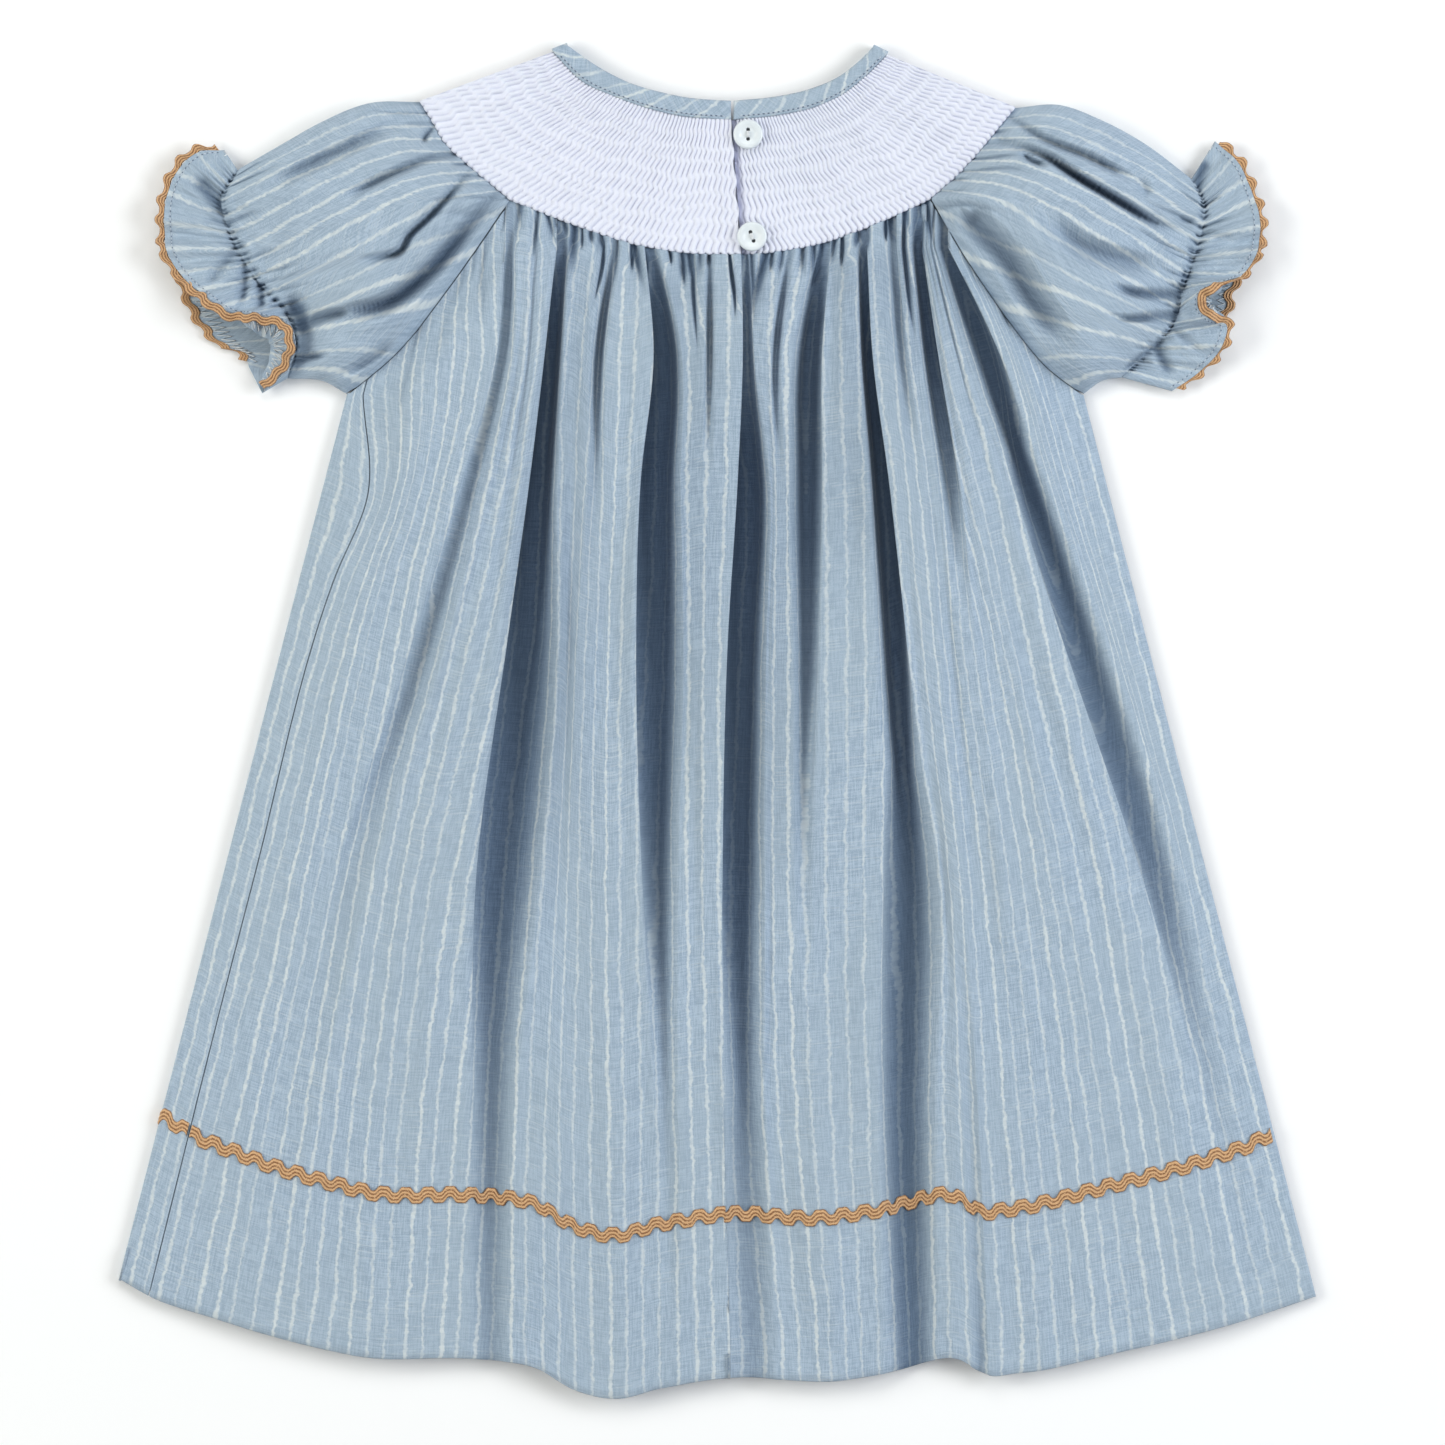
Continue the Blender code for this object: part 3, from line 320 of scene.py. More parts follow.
def cloud(across, down, acrossScale, downScale, layer=0.0, detail=0.0):
    # noise stretched by its own scale along each direction of the cloth; layer moves it elsewhere
    place = addNode(across.tree, "ShaderNodeCombineXYZ", 0,
                    X=across.math("MULTIPLY_ADD", acrossScale, layer * 7.31),
                    Y=down.math("MULTIPLY_ADD", downScale, layer * 3.17))
    return addNode(across.tree, "ShaderNodeTexNoise", "Fac", dict(noise_dimensions="2D"),
                   Vector=place, Scale=1.0, Detail=detail, Roughness=0.6)


def speckle(tree, scale, **inputs):
    # solid noise that stays with the object
    where = addNode(tree, "ShaderNodeTexCoord", "Object")
    return addNode(tree, "ShaderNodeTexNoise", "Fac", None, Vector=where, Scale=scale, **inputs)


def mixColour(share, first, second, how="MIX"):
    # from the first colour to the second by a share
    node = share.tree.nodes.new("ShaderNodeMix")
    node.data_type, node.blend_type = "RGBA", how
    for k, value in ((0, share), (6, first), (7, second)):
        plug(share.tree, node.inputs[k], value)
    return Wire(share.tree, node.outputs[2])


def clothPlace(tree):
    # the two directions of the flat cloth, in millimetres
    parts = tree.nodes.new("ShaderNodeSeparateXYZ")
    plug(tree, parts.inputs[0], addNode(tree, "ShaderNodeUVMap", "UV", dict(uv_map="cloth")))
    return Wire(tree, parts.outputs[0]), Wire(tree, parts.outputs[1])


def foldShade(tree):
    # how much painted shade the surface has, from 0 to 1: most deep in folds, dents and holes
    return addNode(tree, "ShaderNodeAttribute", "Fac", dict(attribute_name="fold"))


def linear(*shades):
    # screen shades from 0 to 255 as the shader's linear colour
    c = np.array(shades) / 255
    return tuple(float(v) for v in np.where(c <= 0.04045, c / 12.92, ((c + 0.055) / 1.055) ** 2.4))


cottonLook = dict(
    pitch=6.7, sway=1.6, shiver=0.9, fuzz=0.9,     # pale threads: their spacing and how they wander
    lineWidth=0.1, lineSpread=0.18, lineSwell=0.6,
    dashPitch=1.15, dashStrength=0.24,             # thin pale dashes across the warp
    # paintedShadeStrength and shade set the painted shade in folds: how strong it is, and its colour
    bumpDepth=0.0004, paintedShadeStrength=0.85,
    light=linear(172, 189, 205), dark=linear(146, 164, 182), faded=linear(160, 176, 188),
    thread=linear(206, 214, 216), shade=linear(118, 136, 157),
)
# Each noise in the cotton: its scales across and along the cloth, its layer and its detail
cottonNoise = dict(
    drift=(0.05, 0.07, 3.1), shiver=(0.2, 0.5, 8.4), fuzz=(1.3, 0.8, 1.7, 1.0),
    swell=(7.3, 0.12, 5.5), broken=(3.9, 0.45, 9.0, 1.0), dash=(0.11, 5.3, 7.7), group=(0.05, 0.045, 12.0),
    warp=(1.6, 0.12, 2.2, 1.0), weft=(0.12, 1.8, 4.6, 1.0), slubs=(2.6, 2.6, 6.1, 1.0),
    broad=(0.025, 0.012, 15.0), crimp=(0.28, 0.28, 20.0, 1.0),
)


def makeCotton(name, turned=False):
    # slub cotton: pale uneven threads every few millimetres along the warp, finer slubs across it
    look = cottonLook
    made, tree = newMaterial(name, 0.86, 0.2, 0.12)
    across, down = clothPlace(tree)
    if turned:          # cut on the cross
        across, down = (across - down) * 0.7071, (down + across) * 0.7071
    names = ("drift", "shiver", "fuzz", "group", "warp", "weft", "slubs", "broad", "crimp")
    drift, shiver, fuzz, group, warp, weft, slubs, broad, crimp = (
        cloud(across, down, *cottonNoise[key]) for key in names)
    cell = ((drift - 0.5) * look["sway"] + across + (shiver - 0.5) * look["shiver"]) / look["pitch"]
    number = cell.math("FLOOR")
    chance = addNode(tree, "ShaderNodeTexWhiteNoise", "Value", dict(noise_dimensions="1D"), W=number)
    away = (cell.math("FRACT") - (chance * 0.24 + 0.38)).math("ABSOLUTE") * look["pitch"]
    away = (fuzz - 0.5) * look["fuzz"] + away
    swell = cloud(number, down, *cottonNoise["swell"]) * look["lineSwell"]
    width = swell + (chance * look["lineSpread"] + look["lineWidth"])
    line = away.ramp(width - 0.3, width + 0.4, 1.0, 0.0)
    broken = cloud(number, down, *cottonNoise["broken"]).ramp(0.3, 0.62, 0.58, 0.95)
    line = line * (broken * chance.ramp(0, 1, 0.68, 1.0))
    ground = (warp * 0.9 + weft * 0.8 + slubs * 0.7).ramp(0.85, 1.55)
    # the dashes come in loose groups
    dashRow = down / look["dashPitch"]
    offRow = (dashRow.math("FRACT") - 0.5).math("ABSOLUTE")
    dash = cloud(across, dashRow.math("FLOOR"), *cottonNoise["dash"]).ramp(0.56, 0.66)
    dash = dash * group.ramp(0.42, 0.6) * offRow.ramp(0.1, 0.3, look["dashStrength"], 0.0)
    colour = mixColour(ground, look["dark"], look["light"])
    colour = mixColour(broad.ramp(0.3, 0.7) * 0.35, colour, look["faded"])
    colour = mixColour(dash, colour, look["thread"])
    colour = mixColour(line, colour, look["thread"])
    # painted shade: the colour is multiplied towards the shade colour where the fold attribute marks folds, dents
    # and tucked edges
    deep = foldShade(tree).ramp(0.0, 1.0, 0.0, look["paintedShadeStrength"])
    colour = mixColour(deep, colour, look["shade"], "MULTIPLY")
    paint(tree, colour, warp * 0.5 + weft * 0.5 + crimp * 1.4, look["bumpDepth"], 0.6)
    return made


def makeWhite():
    # fine white cotton, with a painted lavender shade in the folds between its pleats
    made, tree = newMaterial("whiteCotton", 0.8, 0.25, 0.15)
    grain = cloud(*clothPlace(tree), 2.5, 2.5, 1.0, 1.0)
    colour = mixColour(grain, linear(222, 225, 238), linear(232, 235, 246))
    # painted shade: lavender-grey where the fold attribute marks the valleys between pleats
    colour = mixColour(foldShade(tree).ramp(0.05, 0.85, 0.0, 0.9), colour, linear(180, 183, 207))
    paint(tree, colour, grain, 0.0002, 0.4)
    return made


def makeBraid():
    # woven rick-rack: fine threads run along it, with painted shade darkening the grooves between them, and light
    # and dark flecks
    made, tree = newMaterial("rickRack", 0.72, 0.3, 0.2)
    run, side = clothPlace(tree)
    wave = (side + braid["width"] / 2) * (braid["ridges"] * math.pi / braid["width"])
    thread = wave.math("SINE").math("POWER", 2.0)
    twist = ((run + side * 0.9) * 7.5).math("SINE")
    body = thread * 0.7 + twist * 0.1
    fleck = cloud(run, side, 1.1, 2.4, 2.0, 1.0).ramp(0.5, 0.75, 0.0, 0.6)
    # the dark colour is painted shade in the grooves between the threads
    colour = mixColour(body.ramp(0.0, 0.7), linear(132, 90, 56), linear(212, 168, 122))
    colour = mixColour(fleck, colour, linear(228, 190, 146))
    paint(tree, colour, body, 0.0003, 0.8)
    return made


def makePearl():
    # pearly shell: soft swirls under a thin clear coat, with painted shade inside the holes
    made, tree = newMaterial("pearlButton", 0.22, 0.5)
    shader = tree.nodes["Principled BSDF"]
    shader.inputs["Coat Weight"].default_value = 0.35
    shader.inputs["Coat Roughness"].default_value = 0.12
    swirl = speckle(tree, 260.0, Detail=2.0, Distortion=1.2)
    colour = mixColour(swirl, linear(216, 224, 228), linear(232, 238, 240))
    # painted shade: grey inside the holes, by the fold attribute
    paint(tree, mixColour(foldShade(tree), colour, linear(132, 136, 140)))
    return made


def makeThread(name, first, second):
    # twisted sewing thread
    made, tree = newMaterial(name, 0.6, 0.3, 0.2)
    twist = speckle(tree, 1800.0, Detail=1.0)
    paint(tree, mixColour(twist, first, second), twist, 0.0001, 0.5)
    return made


braid = dict(width=4.4, cuffWidth=3.4, swing=1.25, pitch=8.5, ridges=3, notch=0.2, columns=17)
cotton = makeCotton("slubCotton")
cottonOnTheCross = makeCotton("slubCottonOnTheCross", turned=True)
whiteCotton = makeWhite()
rickRack = makeBraid()
pearl = makePearl()
whiteThread = makeThread("whiteThread", linear(205, 210, 214), linear(240, 242, 242))
blueThread = makeThread("blueThread", linear(160, 176, 192), linear(206, 214, 222))
# the dark spindles in the needle holes between stitches: painted shade
holeShade = makeThread("holeShade", linear(84, 98, 120), linear(104, 118, 138))
print("materials made")


def topEdge(x):
    # the skirt's cut edge at the top: left raglan, yoke's arc and right raglan
    left, arc, right = (heightAt(line, x) for line in (raglanLeft, yokeArc, raglanRight))
    return np.where(x < yokeArc[0][0], left, np.where(x > yokeArc[-1][0], right, arc))


def hemEdge(x):
    # the hem's y at x
    return heightAt(hemLine, x)


def sideX(y, side):
    # a straight side seam that spreads from the armpit to the hem
    reach = (skirt["armpitY"] - y) * skirt["sideSlope"]
    return skirt["leftX"] - reach if side < 0 else skirt["rightX"] + reach


def foldPlace(fold, y):
    # lean, middle and half width: a sharp fold's soft side is drawn out and its lip stays where it is
    read = lambda values: through(skirt["stations"], np.broadcast_to(values, len(skirt["stations"])), y)
    lean, half, widen = read(fold["lean"]), read(fold["half"]), read(skirt["softWiden"])
    return lean, read(fold["middle"]) - lean * half * widen, half * (1 + np.abs(lean) * widen)


def skirtX(count, y):
    # across the skirt: each groove keeps its place, and the ridges fill evenly what is between
    share = skirt["grooveShare"]
    left = sideX(y, -1) + skirt["edgeTurn"]
    knots = [0, skirt["seamColumn"]]
    places = [left, left + through(skirt["flapAt"], skirt["flapWidth"], y)]
    for k, fold in enumerate(folds, 1):
        _, middle, half = foldPlace(fold, y)
        knots += [k - share, k, k + share]
        places += [middle - half, middle, middle + half]
    knots = np.array(knots + [len(folds) + 1], float)
    places = np.stack(places + [sideX(y, 1) - skirt["rightTurn"]])
    k = np.clip(np.searchsorted(knots, count, side="right") - 1, 0, len(knots) - 2)
    part = (count - knots[k]) / (knots[k + 1] - knots[k])
    low = np.take_along_axis(places, k[None], 0)[0]
    high = np.take_along_axis(places, k[None] + 1, 0)[0]
    return low + (high - low) * part


def settle(count, edge, start):
    # where each column meets an edge: y moves halfway to the edge's own y, thirty times
    y = np.full(count.shape, float(start))
    for _ in range(30):
        y = 0.5 * (y + edge(skirtX(count, y)))
    return y


# A groove from its sharp lip (-1) to its soft side (1): place across, tuck under the lip and depth
lipTable = dict(
    t=(-1, -0.9, -0.78, -0.62, -0.42, -0.15, 0.15, 0.45, 0.72, 1),
    place=(-1, -0.97, -0.99, -0.97, -0.8, -0.45, 0.0, 0.42, 0.72, 1),
    under=(0, 0.3, 0.85, 1, 0.7, 0.2, 0, 0, 0, 0),
    depth=(0, 0.1, 0.38, 0.68, 0.9, 1, 0.96, 0.66, 0.26, 0),
)


def grooves(count, y, x):
    # sideways move, depth share, steepness and flank of every point, summed over the folds
    move, depth, wall, flank = (np.zeros(y.shape) for _ in range(4))
    for k, fold in enumerate(folds, 1):
        t = (count - k) / skirt["grooveShare"]
        inside = np.abs(t) < 1
        lean, middle, half = foldPlace(fold, y)
        sign, lean = np.where(lean > 0, 1.0, -1.0), np.abs(lean)
        deep = np.clip(through(skirt["stations"], fold["depth"], y), 0, 1)
        s = np.clip(-sign * t, -1, 1)
        lip = {key: through(lipTable["t"], lipTable[key], s) for key in ("place", "under", "depth")}
        sharpDepth = 0.5 * (np.interp(s, lipTable["t"], lipTable["depth"]) + lip["depth"])
        softDepth = (0.5 + 0.5 * np.cos(math.pi * np.clip(t, -1, 1))) ** 0.75
        strength = ease(deep * 1.6) * lean
        side = half * (lip["place"] - s) - skirt["overhang"] * lip["under"]
        move += np.where(inside, -sign * side * strength, 0)
        depth += np.where(inside, (sharpDepth * strength + softDepth * (1 - strength)) * deep, 0)
        wall += np.where(inside, np.exp(-((s + 0.7 * lean) / 0.3) ** 2) * deep, 0)
        beyond = np.exp(-(np.clip(-sign * (x - middle) - half, 0, None) / skirt["flankReach"]) ** 2)
        flank += ease((s + 1) / 2) * deep * beyond * ease((lean - 0.5) * 2)
    return move, depth, wall, np.clip(flank, 0, 1)


def skirtColumns(ridge, groove):
    # columns counted in folds, closer together in the grooves
    share, more, count = skirt["grooveShare"], skirt["sideColumns"], len(folds)
    parts = [np.linspace(skirt["seamColumn"], 1 - share, ridge + more, endpoint=False)]
    for k in range(1, count + 1):
        last = k == count
        parts.append(k + share * np.linspace(-1, 1, groove, endpoint=False))
        parts.append(np.linspace(k + share, k + 1 if last else k + 1 - share, ridge + more * last, endpoint=last))
    return np.concatenate(parts)


def looseTable(seed, start, end, gap, deep, half, reach):
    # small valleys of uneven place, depth, width and length from start to end
    dice = np.random.default_rng(seed)
    place = start + np.cumsum(dice.uniform(*gap, int((end - start) / gap[0])))
    place = place[place < end]
    return dict(place=place, deep=dice.uniform(*deep, len(place)), half=dice.uniform(*half, len(place)),
                reach=reach[0] + (reach[1] - reach[0]) * dice.uniform(0, 1, len(place)) ** 1.8)


def valleys(across, run, small):
    # the deepest of the valleys at each point: a bell across, fading along its reach
    total = np.zeros(np.broadcast(across, run).shape)
    for place, deep, half, reach in zip(*(small[key] for key in ("place", "deep", "half", "reach"))):
        part = np.clip(run / reach, 0, 1)
        wide = half * (0.8 + 2.4 * part * (1 - part)) * (1 - 0.5 * part)
        total = np.maximum(total, deep * np.exp(-(np.abs(across - place) / wide) ** 2) * ease(1.5 * (1 - part)))
    return total


seamPleats = looseTable(12, -120, 112, (3.3, 8.4), (1.8, 5.2), (0.55, 1.2), (6, 56))
lowRows = np.arange(0, 105.1, skirt["rowStep"])
highRows = 1 - (1 - np.linspace(0, 1, 124)[1:]) ** 1.45


def skirtRows(count):
    # each column's y: even steps up from the hem, then shares of the way to the top edge
    hem = settle(count, hemEdge, hemLine[9][1])
    top = settle(count, topEdge, skirt["armpitY"]) - skirt["seamGap"]
    low = hem[:, None] + lowRows
    high = low[:, -1:] * (1 - highRows) + top[:, None] * highRows
    return np.concatenate([low, high], 1), top


def skirtSurface(count):
    # low dome with ridges and grooves, pinched at its top seam, then dents and soft unevenness
    y, top = skirtRows(count)
    counts = np.broadcast_to(count[:, None], y.shape)
    x = skirtX(counts, y)
    move, depth, wall, flank = grooves(counts, y, x)
    across = 2 * (x - sideX(y, -1)) / (sideX(y, 1) - sideX(y, -1)) - 1
    dome = 1 - np.abs(across) ** 4
    below = top[:, None] - y
    swell = skirt["seamRise"] + (1 - skirt["seamRise"]) * ease(below / skirt["rise"])
    height = (through(skirt["stations"], skirt["ridgeHeight"], y) - skirt["lowSide"]) * dome * swell
    dent = np.zeros(y.shape)
    for pleat in gathers:
        part = below / pleat["reach"]
        near = np.exp(-((x - (pleat["top"] + (pleat["foot"] - pleat["top"]) * part)) / pleat["half"]) ** 2)
        dent = np.maximum(dent, pleat["deep"] * near * ease(1.15 * (1 - part)) * (across**2 < 0.9))
    edge = ease((1 - np.abs(across)) * 12)
    seamX, hemX = x[:, -1:], x[:, :1]
    wander = rumple(x, y * 0.5, 20, 5) * 0.8
    onYoke = 0.4 + 0.6 * ease((85 - np.abs(seamX)) / 10)
    dent = np.maximum(dent, valleys(seamX + wander, np.clip(below, 0, None), seamPleats) * onYoke * edge)
    soft = (roll(x, y, softWaves) + roll(hemX, y, fluteWaves)) * edge * np.clip(height / skirt["softFade"], 0.3, 1)
    dent = np.minimum(dent, height * skirt["dentShare"])
    flank *= np.clip(height / skirt["flankFade"], 0, 1)
    z = skirt["lowSide"] + height * (1 - depth) + soft * (1 - 0.7 * depth) - dent
    z -= skirt["flankDip"] * flank * (1 - depth)
    points = np.stack([x + move, y, np.maximum(z, skirt["lowest"])], -1)
    # painted shade: deep in the grooves and dents, and a little on the flanks beside sharp folds
    shade = np.maximum(depth * np.clip(height / skirt["shadeFade"], 0, 1), dent / skirt["dentShade"])
    return points, np.clip(shade + 0.3 * flank, 0, 1), wall


def clothAcross(points, count, wall):
    # each ridge keeps its own place on the flat cloth, true to size, and the hidden wall of each
    # groove takes up the rest
    run = lengths(points, 0)
    reference = int(skirt["trimAbove"] / skirt["rowStep"])
    knots = [0] + [int(np.argmin(np.abs(count - (k + 0.5)))) for k in range(1, len(folds))] + [len(count) - 1]
    weight = np.diff(run, axis=0, prepend=run[:1]) * (0.1 + 3 * wall)
    result = np.zeros(run.shape)
    for a, b in zip(knots[:-1], knots[1:]):
        own = run[a:b + 1] - run[a]
        wanted = run[b, reference] - run[a, reference]
        part = np.cumsum(weight[a:b + 1], 0) - weight[a]
        result[a:b + 1] = run[a, reference] + own + (wanted - own[-1]) * (part / part[-1])
    return result


backCount = skirtColumns(19, 20)
backFace, backShade, backWall = skirtSurface(backCount)
backAcross = clothAcross(backFace, backCount, backWall)


def lowered(line, drop, lowest):
    # a copy of a line of points, lower by drop but never under lowest
    line = line.copy()
    line[..., 2] = np.maximum(line[..., 2] - drop, lowest)
    return line


def makeSkirtBack():
    # the outer face, its hem turned up inside, and its top edge and right side turned down
    face, wall, turned = backFace.copy(), skirt["wall"], int(skirt["hemTurn"] / skirt["rowStep"])
    normal = facing(face)
    normal *= np.sign(normal[..., 2:].mean())
    face[0, :, 0] += skirt["seamGap"]
    inner = face[:, turned:turned + 1] - normal[:, turned:turned + 1] * wall
    inside = face[:, 1:2] - normal[:, 1:2] * wall
    lip = face[:, :1] - normal[:, :1] * wall * 0.5 - (0, 0.4, 0)
    tuck = lowered(face[:, -1:] + (0, 0.15, 0), 1.6, skirt["lowest"])
    grid = np.concatenate([inner, inside, lip, face, tuck, lowered(tuck, 3.0, 2.2)], 1)
    side = grid[-1:] + (skirt["rightTurn"] - 0.05, 0, -0.6)
    sideLow = grid[-1:] + (skirt["rightTurn"], 0, 0)
    sideLow[..., 2] = 1.7
    grid = np.concatenate([grid, side, sideLow], 0)
    added = ((0, 2), (3, 2))      # rows and columns that the turned edges add after and before the face
    across = np.pad(backAcross, added, "edge")
    across[-2:] += [[0.8], [1.6]]
    down = np.pad(lengths(backFace, 1), added, "edge")
    down[:, :3] += (-12, -2, -0.6)
    down[:, -2:] += (1.6, 4)
    # painted shade on the hem's turned-up inside and on the top edge turned down under the yoke
    shade = np.pad(backShade, added, "edge")
    shade[:, :2] = 0.6
    shade[:, -2:] = 1
    return addPiece("skirtBack", grid, ["skirt_back"], cotton, np.stack([across, down], -1), shade)


def makeSkirtFront():
    # flat on the table, round the left edge and up to the side seam on top
    flap = skirtSurface(np.linspace(0, skirt["seamColumn"], 12))[0][::-1].copy()
    flap[0, :, 0] -= 0.4 * skirt["seamGap"]
    start, clear, turnedRow, middleRow = flap[-1], skirt["tableGap"], 4, 20
    # it lifts off the table where its rick-rack runs underneath
    band = np.abs(np.concatenate([lowRows, np.full(len(highRows), 200.0)]) - skirt["trimAbove"])
    lift = clear + 1.0 * ease(1 - (band - 4.5) / 6)
    turn = [start + np.stack([np.full(len(start), -skirt["edgeTurn"] * math.sin(a)), np.zeros(len(start)),
                              (start[:, 2] - lift) / 2 * (math.cos(a) - 1)], -1)
            for a in np.linspace(0, math.pi, 9)[1:-1]]
    low = np.concatenate([start[:, :2], lift[:, None]], 1)
    reach = np.linspace(0, 1, 150)[1:]
    shortOf = 1.2           # it ends a little inside the back's right side
    topX = skirt["leftX"] + (skirt["rightX"] - shortOf - skirt["leftX"]) * reach
    topY = topEdge(topX) - skirt["seamGap"]
    hemLeft, hemRight = sideX(hemLine[0][1], -1), sideX(hemLine[-1][1], 1)
    hemX = hemLeft + reach * (hemRight - hemLeft - shortOf)
    hemY = hemEdge(hemX) + 1.5
    rows = hemY[:, None] + lowRows
    rows = np.concatenate([rows, rows[:, -1:] * (1 - highRows) + topY[:, None] * highRows], 1)
    share = (rows - hemY[:, None]) / (topY - hemY)[:, None]
    x = hemX[:, None] + (topX - hemX)[:, None] * share
    flat = np.stack([x, rows, np.broadcast_to(lift, x.shape)], -1)
    panel = np.concatenate([flap, turn, low[None], flat], 0)
    # the hem is turned up on the inside, which is below the flap and above the rest
    inwards = np.where(np.arange(len(panel)) < len(flap), -0.9, 0.9)[:, None, None]
    inner = panel[:, turnedRow:turnedRow + 1] + inwards * np.array((0, 0, 1.0))
    lip = panel[:, :1] + inwards * np.array((0, 0, 0.5)) - (0, 0.3, 0)
    grid = np.concatenate([inner, lip, panel], 1)
    grid[..., 2] = np.maximum(grid[..., 2], clear)
    run = lengths(panel[:, middleRow:middleRow + 1], 0)
    across = np.broadcast_to(-run + backAcross[0, middleRow] + run[len(flap) - 1], grid.shape[:2])
    down = np.pad(lengths(panel, 1), ((0, 0), (2, 0)), "edge")
    down[:, :2] += (-11, -1)
    piece = addPiece("skirtFront", grid[::-1], ["skirt_front"], cotton,
                     np.stack([across, down], -1)[::-1], np.zeros(grid.shape[:2]))
    return piece, panel


skirtBack = makeSkirtBack()
skirtFront, frontFace = makeSkirtFront()
print("skirt", backFace.shape, frontFace.shape)
braidShares = np.linspace(0, 1, braid["columns"])


def braidWave(at):
    # a rounded zigzag: sin t + 0.1 sin 3t
    turns = 2 * math.pi * at / braid["pitch"]
    return np.sin(turns) + 0.1 * np.sin(3 * turns)


def braidSection():
    # low raised threads: a flat bow with a few ridges across it
    ridges = np.abs(np.sin(math.pi * braid["ridges"] * braidShares))
    return (0.35 + 0.25 * ridges - 0.3 * np.abs(2 * braidShares - 1) ** 6)[None, :, None]


def addBraid(name, node, raised, under, at, order):
    # a closed strip: its raised face, then its plain underside backwards
    close = lambda top, low: np.concatenate([top, low[:, ::-1], top[:, :1]], 1)
    side = (braidShares - 0.5)[None] * braid["width"]
    cloth = np.stack(np.broadcast_arrays(at[:, None], side), -1)
    return addPiece(name, close(raised, under)[::order], [node], rickRack, close(cloth, cloth)[::order])


def makeHemBraid(name, node, face, outward, lift):
    # rick-rack laid on a panel: its middle line swings either side of a row
    row = skirt["trimAbove"] / skirt["rowStep"]
    columns = np.arange(len(face), dtype=float)
    run = lengths(readGrid(face, columns, np.full(len(columns), row)), 0)
    at = np.linspace(0.6, run[-1] - 0.6, int(run[-1] / 0.5))
    swing = braid["swing"] * braidWave(at)
    width = braid["width"] * np.sqrt(1 + 0.25 * np.gradient(swing, at) ** 2)
    offset = swing[:, None] + (braidShares - 0.5) * width[:, None]
    offset += braid["notch"] * np.cos(4 * math.pi * at / braid["pitch"])[:, None] * (2 * braidShares - 1)
    column = np.repeat(np.interp(at, run, columns)[:, None], len(braidShares), 1)
    place = readGrid(face, column, row + offset / skirt["rowStep"])
    normal = facing(place)
    normal *= np.sign(normal[..., 2:].mean()) * outward
    return addBraid(name, node, place + normal * (lift + braidSection()), place + normal * lift * 0.5, at, -outward)


hemBraidBack = makeHemBraid("hemBraidBack", "hem_trim_back", backFace, 1, 0.5)
hemBraidFront = makeHemBraid("hemBraidFront", "hem_trim_front", frontFace, -1, 0.05)
print("hem rick-rack")

